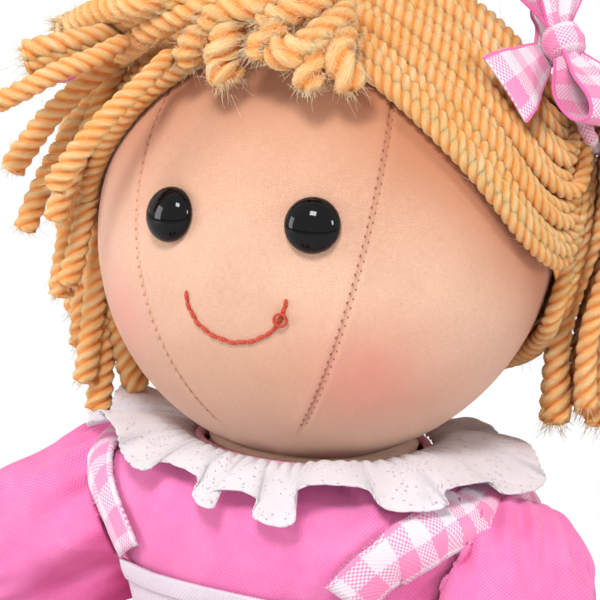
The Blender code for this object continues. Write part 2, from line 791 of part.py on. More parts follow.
def add_tails(bm, knot, directions, face, length, width, droop):
    """One ribbon that passes behind the knot, with two free ends that bend away from the face."""
    back = face * (BOW_KNOT_RADIUS + TOUCH_GAP + RIBBON_THICKNESS / 2)
    thick = RIBBON_THICKNESS / 2
    rows = []
    for share in (-1, -0.7, -0.4, -0.12, 0.12, 0.4, 0.7, 1):
        along = directions[0 if share < 0 else 1]
        side = along.cross(face).normalized() * math.copysign(1, share)
        half = width / 2 * (0.35 + 0.65 * abs(share))
        centre = knot - back + along * length * abs(share) - face * droop * share**2
        corners = ((-half, thick), (half, thick), (half, -thick), (-half, -thick))
        rows.append([centre + side * w + face * t for w, t in corners])
    add_solid(bm, rows)


def add_knot(bm, knot, along, face):
    """The band round the bow's waist."""
    outer = []
    inner = []
    bore = BOW_WAIST_RADIUS + TOUCH_GAP
    half_length = BOW_KNOT_RADIUS * KNOT_HALF_LENGTH
    for angle in spaced(-KNOT_EDGE_ANGLE, KNOT_EDGE_ANGLE, 5):
        centre = knot + along * half_length * math.sin(angle) / math.sin(KNOT_EDGE_ANGLE)
        radius = BOW_KNOT_RADIUS * math.cos(angle) ** 0.5
        outer.append(ring_about(centre, along, face, radius, radius, 12))
        inner.append(ring_about(centre, along, face, bore, bore, 12))
    add_tube_shell(bm, outer, inner)


def make_bow(names, finish, parent, knot, axes, loops, tails):
    """A bow, the band round its waist and the ribbon ends behind it."""
    along, face = axes
    directions, tail_face, tail_sizes = tails
    bm = bmesh.new()
    add_bow(bm, knot, along, face, *loops)
    add_object(names[0], bm, finish, parent)
    bm = bmesh.new()
    add_knot(bm, knot, along, face)
    add_object(names[1], bm, finish, parent)
    bm = bmesh.new()
    add_tails(bm, knot, directions, tail_face, *tail_sizes)
    add_object(names[2], bm, finish, parent)


def make_hair_bow(side, sign, head):
    """A gingham bow above the tie, one ribbon end forward over the hair and one back."""
    lift = TOUCH_GAP * 2 + RIBBON_THICKNESS + BOW_KNOT_RADIUS
    place, normal = over_hair(sign * KNOT_AZIMUTH, KNOT_LATITUDE, lift)
    face = Vector((sign * 0.70, -0.21, 0.67)).normalized()
    along = Vector((sign * -0.62, 0.35, 0.70))
    along = (along - face * along.dot(face)).normalized()
    tail_face = (normal - along * normal.dot(along)).normalized()
    directions = []
    for course in ((sign * -0.25, 0.95, 0.20), (sign * 0.21, -0.96, -0.16)):
        tail = Vector(course)
        directions.append((tail - tail_face * tail.dot(tail_face)).normalized())
    loops = (BOW_LOOP_LENGTH, BOW_LOOP_WIDTH, BOW_LOOP_THICKNESS, BOW_LIFT)
    tails = (directions, tail_face, (BOW_TAIL_LENGTH, BOW_TAIL_WIDTH, BOW_TAIL_DROOP))
    names = ("bow_" + side, "bow_knot_" + side, "bow_tails_" + side)
    knot = place - head.matrix_world.translation
    make_bow(names, "gingham_pink", head, knot, (along, face), loops, tails)


# Neck and body


def make_neck(neck):
    """The neck: a ball in the body's top, and a collar of skin cut round under the head."""
    rows = []
    for angle in spaced(-80 * DEG, 0, 6):
        radius = NECK_BALL_RADIUS * math.cos(angle)
        rows.append((radius, NECK_BALL_RADIUS * math.sin(angle)))
    for share in (1, 0.8, 0.55, 0.25, 0.04):
        radius = NECK_RADIUS * share
        rows.append((radius, head_bottom(radius) - TOUCH_GAP - NECK_PIVOT_HEIGHT))
    angles = [2 * math.pi * i / NECK_SIDES for i in range(NECK_SIDES)]
    rings = []
    for radius, height in rows:
        rings.append([Vector((radius * math.cos(a), radius * math.sin(a), height)) for a in angles])
    bm = bmesh.new()
    add_solid(bm, rings)
    add_object("neck", bm, "skin_cloth", neck)


def ball_cutter(name, centre, radius, sides=16, rings=8):
    rows = []
    for angle in spaced(-84 * DEG, 84 * DEG, rings):
        middle = centre + Vector((0, 0, radius * math.sin(angle)))
        across = radius * math.cos(angle)
        rows.append(ring_about(middle, Vector((0, 0, 1)), Vector((0, 1, 0)), across, across, sides))
    bm = bmesh.new()
    add_solid(bm, rows)
    return add_object(name, bm, "stuffing")


def shoulder_place(sign):
    return Vector((sign * SHOULDER_SIDE, 0, SHOULDER_HEIGHT))


def make_shoulder_cutters():
    radius = (SLEEVE_ROOT_RADIUS + SWIVEL_GAP) / math.cos(math.pi / 16)
    return [ball_cutter("shoulder_cutter_" + side, shoulder_place(sign), radius) for side, sign in SIDES]


def make_hip_cutter():
    """The room under the body's front in which both hips swing."""
    radius = THIGH_RADIUS + BLOOMER_THICKNESS + TOUCH_GAP + SWIVEL_GAP
    half = HIP_SIDE + radius + HIP_ROOM_SIDE
    front = -HIP_FORWARD - HIP_ROOM_FRONT
    corners = []
    for angle in spaced(0, 90 * DEG, 8):
        corners.append((-HIP_FORWARD + radius * math.cos(angle), HIP_HEIGHT + radius * math.sin(angle)))
    corners.append((front, HIP_HEIGHT + radius))
    corners.append((front, -HIP_ROOM_BELOW))
    corners.append((-HIP_FORWARD + radius, -HIP_ROOM_BELOW))
    bm = bmesh.new()
    add_solid(bm, [[Vector((x, y, z)) for y, z in corners] for x in (-half, half)])
    return add_object("hip_cutter", bm, "stuffing")


def make_torso(cutters):
    """The stuffed body: a flat seat, full hips, a waist and wide shoulders."""
    sides = DRESS_SIDES
    angles = [2 * math.pi * i / sides for i in range(sides)]
    rows = []
    for height, wide, deep, back in HIP_SECTIONS:
        rows.append([oval(wide, deep, height, a, back) for a in angles])
    under = -(CLOTH_THICKNESS + TOUCH_GAP)
    last = len(DRESS_SECTIONS) - 1
    rows += dress_rows([i / last for i in range(last)], under, sides)
    top = DRESS_SECTIONS[-1]
    rows.append([oval(top[1] + under, top[2] + under, top[0] + under, a) for a in angles])
    bm = bmesh.new()
    add_solid(bm, rows)
    torso = add_object("torso", bm, "skin_cloth")
    for cutter in cutters:
        cut(torso, cutter)


def make_bodice(cutters):
    shares = [i / (len(DRESS_SECTIONS) - 1) for i in range(len(DRESS_SECTIONS))]
    bm = bmesh.new()
    outer = dress_rows(shares, 0, DRESS_SIDES)
    inner = dress_rows(shares, -CLOTH_THICKNESS, DRESS_SIDES)
    add_tube_shell(bm, outer, inner)
    bodice = add_object("bodice", bm, "dress_pink")
    for cutter in cutters:
        cut(bodice, cutter)


def collar_point(share, angle, lift):
    """A point of the collar from the neckline, share 0, to its scalloped edge, share 1."""
    inner = NECKLINE_RADIUS - CLOTH_THICKNESS / 2 + BINDING_RADIUS + TOUCH_GAP
    wide = inner + (COLLAR_HALF_WIDTH - inner) * share
    deep = inner + (COLLAR_HALF_DEPTH - inner) * share
    sideways = math.sin(angle) ** 2
    edge = NECKLINE_HEIGHT - COLLAR_FRONT_DROP + (COLLAR_FRONT_DROP + COLLAR_SIDE_RISE) * sideways
    start = NECKLINE_HEIGHT + COLLAR_START_RISE
    height = start + (edge - start) * ease(share) ** 1.1
    wave = math.cos(COLLAR_WAVES * angle) * COLLAR_WAVE_HEIGHT * share
    return Vector((wide * math.sin(angle), -deep * math.cos(angle), height + wave + lift))


def make_collar():
    sides = COLLAR_WAVES * 4
    angles = [2 * math.pi * i / sides for i in range(sides)]
    outer = [[collar_point(share, a, LACE_THICKNESS) for a in angles] for share in (0, 0.5, 1)]
    inner = [[collar_point(share, a, 0) for a in angles] for share in (0, 0.5, 1)]
    bm = bmesh.new()
    add_tube_shell(bm, outer, inner)
    add_object("lace_collar", bm, "lace_white")


def make_neck_binding():
    """The thin pink edge that stands up round the neck inside the collar."""
    radius = NECKLINE_RADIUS - CLOTH_THICKNESS / 2
    height = NECKLINE_HEIGHT + BINDING_RADIUS + BINDING_LIFT
    bm = bmesh.new()
    add_ring_tube(bm, Vector((0, 0, height)), Vector((0, 0, 1)), radius, BINDING_RADIUS, 24, 4)
    add_object("neck_binding", bm, "dress_pink")


def make_skirt():
    """The gathered skirt, with its main folds."""
    sides = SKIRT_FOLDS * 5
    angles = [2 * math.pi * i / sides for i in range(sides)]
    shares = (0, 0.16, 0.4, 0.7, 1)
    bm = bmesh.new()
    add_tube_shell(bm, skirt_rows(shares, angles, 0), skirt_rows(shares, angles, -CLOTH_THICKNESS))
    add_object("skirt", bm, "dress_pink")


# Apron


def make_apron_skirt():
    angles = spaced(-APRON_HALF_ANGLE, APRON_HALF_ANGLE, APRON_COLUMNS)
    shares = spaced(APRON_TOP_SHARE, APRON_REACH, 5)
    low = TOUCH_GAP + APRON_STAND_OFF
    bm = bmesh.new()
    add_patch_shell(bm, skirt_rows(shares, angles, low + APRON_THICKNESS), skirt_rows(shares, angles, low))
    add_object("apron_skirt", bm, "apron_white")


def dress_patch(bm, shares, angles, low, thickness):
    outer = [[dress_point(share, a, low + thickness) for a in angles] for share in shares]
    inner = [[dress_point(share, a, low) for a in angles] for share in shares]
    add_patch_shell(bm, outer, inner)


def make_bib():
    """The bib lies on the chest between the waistband and its own hem."""
    angles = spaced(-BIB_HALF_ANGLE, BIB_HALF_ANGLE, 13)
    hem_bottom = BIB_TOP_HEIGHT - BIB_HEM_WIDTH
    shares = spaced(dress_share(BAND_TOP_HEIGHT + TOUCH_GAP), dress_share(hem_bottom - TOUCH_GAP), 3)
    bm = bmesh.new()
    dress_patch(bm, shares, angles, TOUCH_GAP, APRON_THICKNESS)
    add_object("apron_bib", bm, "apron_white")
    shares = spaced(dress_share(hem_bottom), dress_share(BIB_TOP_HEIGHT), 2)
    bm = bmesh.new()
    dress_patch(bm, shares, angles, TOUCH_GAP, APRON_THICKNESS * 1.6)
    add_object("bib_hem", bm, "apron_white")


def make_waistband():
    shares = spaced(dress_share(WAIST_HEIGHT + BAND_RISE), dress_share(BAND_TOP_HEIGHT), 2)
    low = TOUCH_GAP
    bm = bmesh.new()
    outer = dress_rows(shares, low + BAND_THICKNESS, DRESS_SIDES)
    add_tube_shell(bm, outer, dress_rows(shares, low, DRESS_SIDES))
    add_object("apron_waistband", bm, "apron_white")


def shoulder_share(side):
    """The share of the way up, above the widest section, at which the dress is this wide."""
    last = len(DRESS_SECTIONS) - 1
    for i in range(last, 0, -1):
        low = DRESS_SECTIONS[i - 1][1]
        high = DRESS_SECTIONS[i][1]
        if low >= side:
            return (i - 1 + (low - side) / (low - high)) / last
    return 0.5


def strap_centres(sign):
    """Shares and angles of the strap's middle line, from the bib over the shoulder to the back."""
    bib = dress_share(BIB_TOP_HEIGHT + STRAP_FRONT_GAP)
    band = dress_share(BAND_TOP_HEIGHT + STRAP_BACK_GAP)
    top = shoulder_share(STRAP_SHOULDER_SIDE)
    angle = BIB_HALF_ANGLE - STRAP_INSET
    quarter = 90 * DEG
    front = []
    back = []
    for rise, turn in STRAP_COURSE:
        outward = (quarter - angle) * turn
        front.append((bib + (top - bib) * rise, angle + outward))
        back.append((band + (top - band) * rise, 2 * quarter - angle - outward))
    stations = front + [(top, quarter)] + back[::-1]
    return [Vector((share, sign * place, 0)) for share, place in stations]


def make_strap(side, sign):
    """A flat ribbon that follows the dress over the shoulder."""
    path = curve_path(strap_centres(sign), 19)
    outer = []
    inner = []
    for i, place in enumerate(path):
        share, angle = place.x, place.y
        ahead = path[min(i + 1, len(path) - 1)]
        behind = path[max(i - 1, 0)]
        along = dress_point(ahead.x, ahead.y) - dress_point(behind.x, behind.y)
        rise, round_it = dress_tangents(share, angle)
        normal = rise.cross(round_it).normalized()
        across = along.cross(normal).normalized()
        low = []
        high = []
        for step in (-0.5, -0.17, 0.17, 0.5):
            move = across * STRAP_WIDTH * step
            du, dv = in_surface(move, rise, round_it)
            low.append(dress_point(share + du, angle + dv, STRAP_LIFT))
            high.append(dress_point(share + du, angle + dv, STRAP_LIFT + RIBBON_THICKNESS))
        outer.append(high)
        inner.append(low)
    bm = bmesh.new()
    add_patch_shell(bm, outer, inner)
    add_object("strap_" + side, bm, "gingham_pink")


def in_surface(move, first, second):
    """A small move as amounts of the surface's two tangents."""
    a = first.dot(first)
    b = first.dot(second)
    c = second.dot(second)
    p = move.dot(first)
    q = move.dot(second)
    scale = a * c - b * b
    return (p * c - q * b) / scale, (q * a - p * b) / scale


def make_back_bow():
    """The apron ties in a bow at the back of its waistband, with its ends over the skirt."""
    band_middle = (WAIST_HEIGHT + BAND_TOP_HEIGHT) / 2
    height = band_middle + BACK_BOW_BAND_RISE
    _, _, deep = dress_section(dress_share(height))
    face = Vector((0, 0.8, 0.6))
    reach = deep + TOUCH_GAP * 2 + BAND_THICKNESS + (BOW_KNOT_RADIUS + TOUCH_GAP + RIBBON_THICKNESS) * face.y
    knot = Vector((0, reach, band_middle + BACK_BOW_KNOT_RISE))
    directions = []
    for way in (1, -1):
        tail = Vector((way * 0.45, 0.6, -0.8))
        directions.append((tail - face * tail.dot(face)).normalized())
    loops = (BACK_BOW_LOOP_LENGTH, BOW_LOOP_WIDTH, BACK_BOW_LOOP_THICKNESS, BACK_BOW_LIFT)
    tails = (directions, face, (BACK_BOW_TAIL_LENGTH, BACK_BOW_TAIL_WIDTH, BACK_BOW_TAIL_DROOP))
    names = ("apron_bow", "apron_knot", "apron_tails")
    make_bow(names, "apron_white", None, knot, (Vector((-1, 0, 0)), face), loops, tails)


# Arms


def arm_direction(sign, out, drop):
    return Vector((sign * math.sin(out) * math.cos(drop), -math.cos(out) * math.cos(drop), -math.sin(drop)))


def ball_profile(radius, start, steps):
    """Stations and radii of a ball's near side, from a negative station up to its middle."""
    return [(s, math.sqrt(radius**2 - s**2)) for s in spaced(start, 0, steps)]


def straight_rings(direction, profile, sides, grow=0.0, squash=None):
    up = Vector((0, -0.3, 1)).normalized()
    rings = []
    for s, radius in profile:
        flat = squash(s) if squash else 1
        rings.append(ring_about(direction * s, direction, up, radius + grow, (radius + grow) * flat, sides))
    return rings


def hand_flatness(s):
    return 1 - 0.28 * ease((s - ARM_LENGTH * 0.72) / (ARM_LENGTH * 0.14))


def arm_profile():
    profile = ball_profile(ARM_ROOT_RADIUS, -ARM_ROOT_RADIUS * 0.93, 4)
    shape = ((0.2, 0.97), (0.45, 0.88), (0.62, 0.8))
    profile += [(ARM_LENGTH * s, ARM_ROOT_RADIUS * r) for s, r in shape]
    profile.append((ARM_LENGTH * 0.75, ARM_WRIST_RADIUS))
    hand = ((0.81, 0.92), (0.88, 1), (0.94, 0.86), (0.98, 0.55), (1, 0.2))
    profile += [(ARM_LENGTH * s, HAND_RADIUS * r) for s, r in hand]
    return profile


def arm_radius(s):
    return interpolate(arm_profile(), s)


def sleeve_profile():
    profile = ball_profile(SLEEVE_ROOT_RADIUS, -SLEEVE_ROOT_RADIUS * 0.8, 4)
    end = arm_radius(SLEEVE_LENGTH) + TOUCH_GAP + CLOTH_THICKNESS
    profile.append((SLEEVE_LENGTH * 0.13, SLEEVE_ROOT_RADIUS))
    profile.append((SLEEVE_LENGTH * 0.38, (SLEEVE_ROOT_RADIUS + SLEEVE_PUFF_RADIUS) / 2))
    profile.append((SLEEVE_LENGTH * 0.62, SLEEVE_PUFF_RADIUS))
    profile.append((SLEEVE_LENGTH * 0.85, (SLEEVE_PUFF_RADIUS + end) / 2))
    profile.append((SLEEVE_LENGTH, end))
    return profile


def make_arm(side, sign, arm, direction):
    bm = bmesh.new()
    add_solid(bm, straight_rings(direction, arm_profile(), 12, squash=hand_flatness))
    add_object("arm_" + side, bm, "skin_cloth", arm)
    profile = sleeve_profile()
    bm = bmesh.new()
    outer = straight_rings(direction, profile, 14)
    add_tube_shell(bm, outer, straight_rings(direction, profile, 14, -CLOTH_THICKNESS))
    add_object("sleeve_" + side, bm, "dress_pink", arm)
    start = SLEEVE_LENGTH + TOUCH_GAP
    band = [(start + CUFF_WIDTH * s, arm_radius(start + CUFF_WIDTH * s) + TOUCH_GAP) for s in (0, 0.5, 1)]
    bm = bmesh.new()
    outer = straight_rings(direction, band, 12, CUFF_THICKNESS)
    add_tube_shell(bm, outer, straight_rings(direction, band, 12))
    add_object("sleeve_cuff_" + side, bm, "dress_pink", arm)


# Legs


def leg_place(s):
    """Middle of the leg at a length from the hip, and its direction there, in the leg's plane."""
    forward = Vector((0, -math.cos(LEG_SLOPE), -math.sin(LEG_SLOPE)))
    if s <= LEG_LENGTH:
        return forward * s, forward
    bend = HEEL_BEND_RADIUS * math.pi / 2
    rise = Vector((0, forward.z, -forward.y))
    angle = min(1, (s - LEG_LENGTH) / bend) * math.pi / 2
    turned = forward * math.cos(angle) + rise * math.sin(angle)
    place = forward * (LEG_LENGTH + HEEL_BEND_RADIUS * math.sin(angle))
    place += rise * HEEL_BEND_RADIUS * (1 - math.cos(angle))
    if s > LEG_LENGTH + bend:
        place += rise * (s - LEG_LENGTH - bend)
    return place, turned


def leg_total():
    return LEG_LENGTH + HEEL_BEND_RADIUS * math.pi / 2 + FOOT_LENGTH


def leg_profile():
    profile = ball_profile(THIGH_RADIUS, -THIGH_RADIUS * 0.95, 4)
    shape = (
        (0.20, THIGH_RADIUS),
        (0.48, KNEE_RADIUS),
        (0.66, KNEE_RADIUS * 1.03),
        (0.90, ANKLE_RADIUS),
        (1.00, ANKLE_RADIUS * 1.02),
    )
    profile += [(LEG_LENGTH * s, radius) for s, radius in shape]
    bend = HEEL_BEND_RADIUS * math.pi / 2
    profile.append((LEG_LENGTH + bend / 2, FOOT_RADIUS * 0.98))
    profile.append((LEG_LENGTH + bend, FOOT_RADIUS))
    foot = ((0.45, 1), (0.75, 0.88), (0.93, 0.6), (1, 0.3))
    profile += [(LEG_LENGTH + bend + FOOT_LENGTH * s, FOOT_RADIUS * r) for s, r in foot]
    return profile


def sole_plane(grow):
    """How far forward of the foot's middle line the flat of the foot lies."""
    return FOOT_RADIUS * 0.80 + grow


def leg_rings(first, last, grow, sides=12, toe=0.0):
    """Rings of the leg between two lengths, with the foot's underside flat."""
    profile = leg_profile()
    lengths = [s for s, _ in profile if first < s < last]
    lengths = [first, *lengths, last] if last < leg_total() else [first, *lengths, leg_total()]
    base, _ = leg_place(leg_total())
    forward = Vector((0, -math.cos(LEG_SLOPE), -math.sin(LEG_SLOPE)))
    limit = base.dot(forward) + sole_plane(grow)
    rings = []
    for s in lengths:
        centre, along = leg_place(s)
        radius = interpolate(profile, s) + grow
        if s == leg_total():
            centre = centre + along * toe
        ring = ring_about(centre, along, Vector((1, 0, 0)), radius, radius, sides)
        for point in ring:
            beyond = point.dot(forward) - limit
            if beyond > 0:
                point -= forward * beyond
        rings.append(ring)
    return rings


def make_leg(side, leg):
    start = -THIGH_RADIUS * 0.95
    bm = bmesh.new()
    add_solid(bm, leg_rings(start, leg_total(), 0))
    add_object("leg_" + side, bm, "skin_cloth", leg)
    low = TOUCH_GAP + FACET_GAP
    bm = bmesh.new()
    high = low + BLOOMER_THICKNESS
    top = -THIGH_RADIUS * 0.6
    add_tube_shell(bm, leg_rings(top, BLOOMER_LENGTH, high), leg_rings(top, BLOOMER_LENGTH, low))
    add_object("bloomers_" + side, bm, "apron_white", leg)
    high = low + SOCK_THICKNESS
    bm = bmesh.new()
    toe = TOUCH_GAP + SOCK_THICKNESS
    outer = leg_rings(SOCK_TOP, leg_total(), high, toe=toe)
    add_cup_shell(bm, outer, leg_rings(SOCK_TOP, leg_total(), low, toe=TOUCH_GAP))
    add_object("sock_" + side, bm, "sock_white", leg)
    make_shoe(side, leg, high + TOUCH_GAP + 2 * FACET_GAP, toe + TOUCH_GAP)


def make_shoe(side, leg, low, toe):
    high = low + SHOE_THICKNESS
    outer = leg_rings(SHOE_TOP, leg_total(), high, toe=toe + SHOE_THICKNESS)
    inner = leg_rings(SHOE_TOP, leg_total(), low, toe=toe)
    bm = bmesh.new()
    add_cup_shell(bm, outer, inner)
    add_object("shoe_" + side, bm, "shoe_pink", leg)
    make_sole(side, leg, high)
    make_shoe_strap(side, leg, low)


def make_sole(side, leg, grow):
    """A flat sole under the shoe: in front of it while the doll sits."""
    forward = Vector((0, -math.cos(LEG_SLOPE), -math.sin(LEG_SLOPE)))
    rise = Vector((0, forward.z, -forward.y))
    end, _ = leg_place(leg_total())
    plane = end.dot(forward) + sole_plane(grow) + TOUCH_GAP
    half_width = (FOOT_RADIUS + grow) * 0.72
    bottom = -(FOOT_RADIUS + grow) * 0.55
    top = end.dot(rise) + SOLE_TOE_RISE
    middle = (bottom + top) / 2
    rings = []
    for depth in (plane, plane + SOLE_THICKNESS):
        ring = []
        for i in range(20):
            a = 2 * math.pi * i / 20
            across = half_width * math.cos(a)
            along = (top - bottom) / 2 * math.copysign(abs(math.sin(a)) ** 0.8, math.sin(a))
            ring.append(Vector((across, 0, 0)) + forward * depth + rise * (middle + along))
        rings.append(ring)
    bm = bmesh.new()
    add_solid(bm, rings)
    add_object("shoe_sole_" + side, bm, "shoe_pink", leg)


def make_shoe_strap(side, leg, low):
    """A strap round the ankle above the shoe, with its button."""
    place = SHOE_TOP - SHOE_STRAP_BACK
    stations = [place - SHOE_STRAP_WIDTH / 2, place + SHOE_STRAP_WIDTH / 2]
    outer = leg_rings(*stations, low + SHOE_STRAP_THICKNESS)
    inner = leg_rings(*stations, low)
    bm = bmesh.new()
    add_tube_shell(bm, outer, inner)
    add_object("shoe_strap_" + side, bm, "shoe_pink", leg)
    sign = 1 if side == "left" else -1
    centre, along = leg_place(place)
    radius = interpolate(leg_profile(), place) + low + SHOE_STRAP_THICKNESS + TOUCH_GAP
    out = Vector((sign, 0, 0))
    bm = bmesh.new()
    rows = []
    for lift, size in BUTTON_SHAPE:
        rows.append(ring_about(centre + out * (radius + lift), out, along, size, size, 12))
    add_solid(bm, rows)
    add_object("shoe_button_" + side, bm, "button_white", leg)


# Assembly


def make_head_group(head):
    frame = pivot("head_frame", HEAD_CENTRE - head.location, head, HEAD_ROTATION)
    bpy.context.view_layer.update()
    holes, pockets = make_eye_cutters(frame)
    make_head_stuffing(frame, pockets)
    make_head_skin(frame, holes)
    make_eyes(frame)
    make_mouth(frame)
    make_fringe(frame)
    for side, sign in SIDES:
        make_hair_half(side, sign, frame)
        make_tie(side, sign, head)
        make_hair_bow(side, sign, head)
        make_bunch(side, sign, head)


def make_body_group():
    cutters = make_shoulder_cutters()
    room = (NECK_BALL_RADIUS + SWIVEL_GAP) / math.cos(math.pi / NECK_SIDES)
    neck_cutter = ball_cutter("neck_cutter", Vector((0, 0, NECK_PIVOT_HEIGHT)), room, NECK_SIDES, 11)
    make_torso([*cutters, neck_cutter, make_hip_cutter()])
    make_bodice([*cutters, neck_cutter])
    make_neck_binding()
    make_collar()
    make_skirt()
    make_apron_skirt()
    make_bib()
    make_waistband()
    make_back_bow()


def make_limbs():
    outs = {"left": ARM_OUT_LEFT, "right": ARM_OUT_RIGHT}
    drops = {"left": ARM_DROP_LEFT, "right": ARM_DROP_RIGHT}
    for side, sign in SIDES:
        make_strap(side, sign)
        arm = pivot("shoulder_pivot_" + side, shoulder_place(sign))
        make_arm(side, sign, arm, arm_direction(sign, outs[side], drops[side]))
        leg = pivot("hip_pivot_" + side, Vector((sign * HIP_SIDE, -HIP_FORWARD, HIP_HEIGHT)))
        make_leg(side, leg)


def main():
    clear_scene()
    make_body_group()
    make_limbs()
    neck = pivot("neck_pivot", Vector((0, 0, NECK_PIVOT_HEIGHT)))
    make_neck(neck)
    head = pivot("head_pivot", Vector((0, 0, NECK_PIVOT_HEIGHT)))
    bpy.context.view_layer.update()
    make_head_group(head)


main()
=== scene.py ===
"""Looks of the seated rag doll: cloth, yarn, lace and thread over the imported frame. Metres, +Z up."""

import math

import bmesh
import bpy
import numpy as np
from mathutils import Matrix, Vector
from mathutils.bvhtree import BVHTree


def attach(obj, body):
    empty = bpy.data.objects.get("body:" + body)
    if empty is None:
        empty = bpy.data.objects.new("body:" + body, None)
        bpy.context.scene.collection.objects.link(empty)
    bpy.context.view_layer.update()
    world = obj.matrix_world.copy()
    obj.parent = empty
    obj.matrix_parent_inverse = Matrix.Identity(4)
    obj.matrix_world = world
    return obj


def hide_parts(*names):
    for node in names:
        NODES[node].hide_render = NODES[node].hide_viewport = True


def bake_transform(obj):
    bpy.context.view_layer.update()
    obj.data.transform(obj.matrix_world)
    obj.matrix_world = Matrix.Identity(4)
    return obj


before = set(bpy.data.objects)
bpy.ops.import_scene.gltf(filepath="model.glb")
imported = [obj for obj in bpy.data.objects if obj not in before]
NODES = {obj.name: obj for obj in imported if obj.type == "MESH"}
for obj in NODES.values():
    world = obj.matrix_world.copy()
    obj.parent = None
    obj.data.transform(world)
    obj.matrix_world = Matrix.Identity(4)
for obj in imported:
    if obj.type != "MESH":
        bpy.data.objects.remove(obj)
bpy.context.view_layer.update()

DEG = math.pi / 180
SIDES = (("left", 1), ("right", -1))

# Sizes that repeat part.py
HEAD_SIZE = np.array((0.0525, 0.0427, 0.0531))
HEAD_CENTRE = np.array((0, 0, 0.150))
HEAD_TURN = Matrix.Rotation(4.4 * DEG, 3, "Z") @ Matrix.Rotation(-3.6 * DEG, 3, "Y")
HEAD_ROTATION = np.array(HEAD_TURN @ Matrix.Rotation(-25 * DEG, 3, "X"))
SEAM = 32.5 * DEG
EYE_SIDE = 0.0167
EYE_DROP = 0.0120
MOUTH_SIDE = 0.0119
MOUTH_CORNER = -0.0272
MOUTH_MIDDLE = -0.0365
# Degrees from the face's middle, and latitude
TIE = (96.5, 28.7)
BOW_PLACE = (79, 38)
TIE_RADIUS = 0.0075
WAIST = 0.0500
NECKLINE = 0.0988
# Height, half width and half depth
DRESS_SECTIONS = np.array((
    (0.0500, 0.0360, 0.0280), (0.0580, 0.0380, 0.0300), (0.0680, 0.0415, 0.0330),
    (0.0780, 0.0470, 0.0345), (0.0860, 0.0510, 0.0340), (0.0910, 0.0515, 0.0328),
    (0.0945, 0.0485, 0.0308), (0.0970, 0.0400, 0.0285), (0.0988, 0.0262, 0.0262),
))
SQUARENESS = 2.4
SHOULDER = np.array((0.0540, 0, 0.0750))
HIP = np.array((0.0195, -0.0220, 0.0160))
NECK_RADIUS = 0.0235
NECK_BASE = 0.0985
EYE_RADIUS = 0.0060
SHANK_LENGTH = 0.0090

# Sizes of the looks alone
SHANK_RADIUS = 0.0014
EYE_BASE = 0.0005
EYE_DOME = 0.0039
TIE_LIFT = 0.0090
HEAD_GAP = 0.0030
# Vertices nearer than this are one
WELD = 2e-7


# Camera, from the place of the eyes, mouth, seam and collar in the photograph


def view_axes():
    """The directions to the right, into the picture and upwards in the photograph."""
    roll = Matrix.Rotation(3.5 * DEG, 3, "Y")
    pitch = Matrix.Rotation(10 * DEG, 3, "X")
    swing = Matrix.Rotation(-30 * DEG, 3, "Z")
    return [np.array(row) for row in roll @ pitch @ swing]


VIEW_RIGHT, VIEW_FORWARD, VIEW_UP = view_axes()
VIEW_DISTANCE = 0.750
VIEW_PLACE = HEAD_CENTRE - VIEW_FORWARD * VIEW_DISTANCE
LENS = 203.4
SENSOR = 36
AIM_LEFT = 0.0060
AIM_DOWN = 0.01726
# The pixel that shows the head's middle, and how many pixels a slope of one takes up
HEAD_PIXEL = (327.1, 222.0)
FOCAL_PIXELS = 3390


def make_camera():
    data = bpy.data.cameras.new("camera")
    data.lens = LENS
    data.sensor_width = SENSOR
    data.clip_start = 0.05
    data.clip_end = 20
    camera = bpy.data.objects.new("camera", data)
    bpy.context.scene.collection.objects.link(camera)
    forward = unit(HEAD_CENTRE - VIEW_RIGHT * AIM_LEFT - VIEW_UP * AIM_DOWN - VIEW_PLACE)
    right = unit(np.cross(forward, VIEW_UP))
    basis = Matrix((right, np.cross(right, forward), -forward)).transposed().to_4x4()
    camera.matrix_world = Matrix.Translation(VIEW_PLACE) @ basis
    bpy.context.scene.camera = camera


def pixel_ray(x, y):
    """Direction from the camera through a pixel of the 600 by 600 photograph."""
    right, down = (x - HEAD_PIXEL[0]) / FOCAL_PIXELS, (y - HEAD_PIXEL[1]) / FOCAL_PIXELS
    return unit(VIEW_FORWARD + VIEW_RIGHT * right - VIEW_UP * down)


# Materials


CHECK = 0.0043


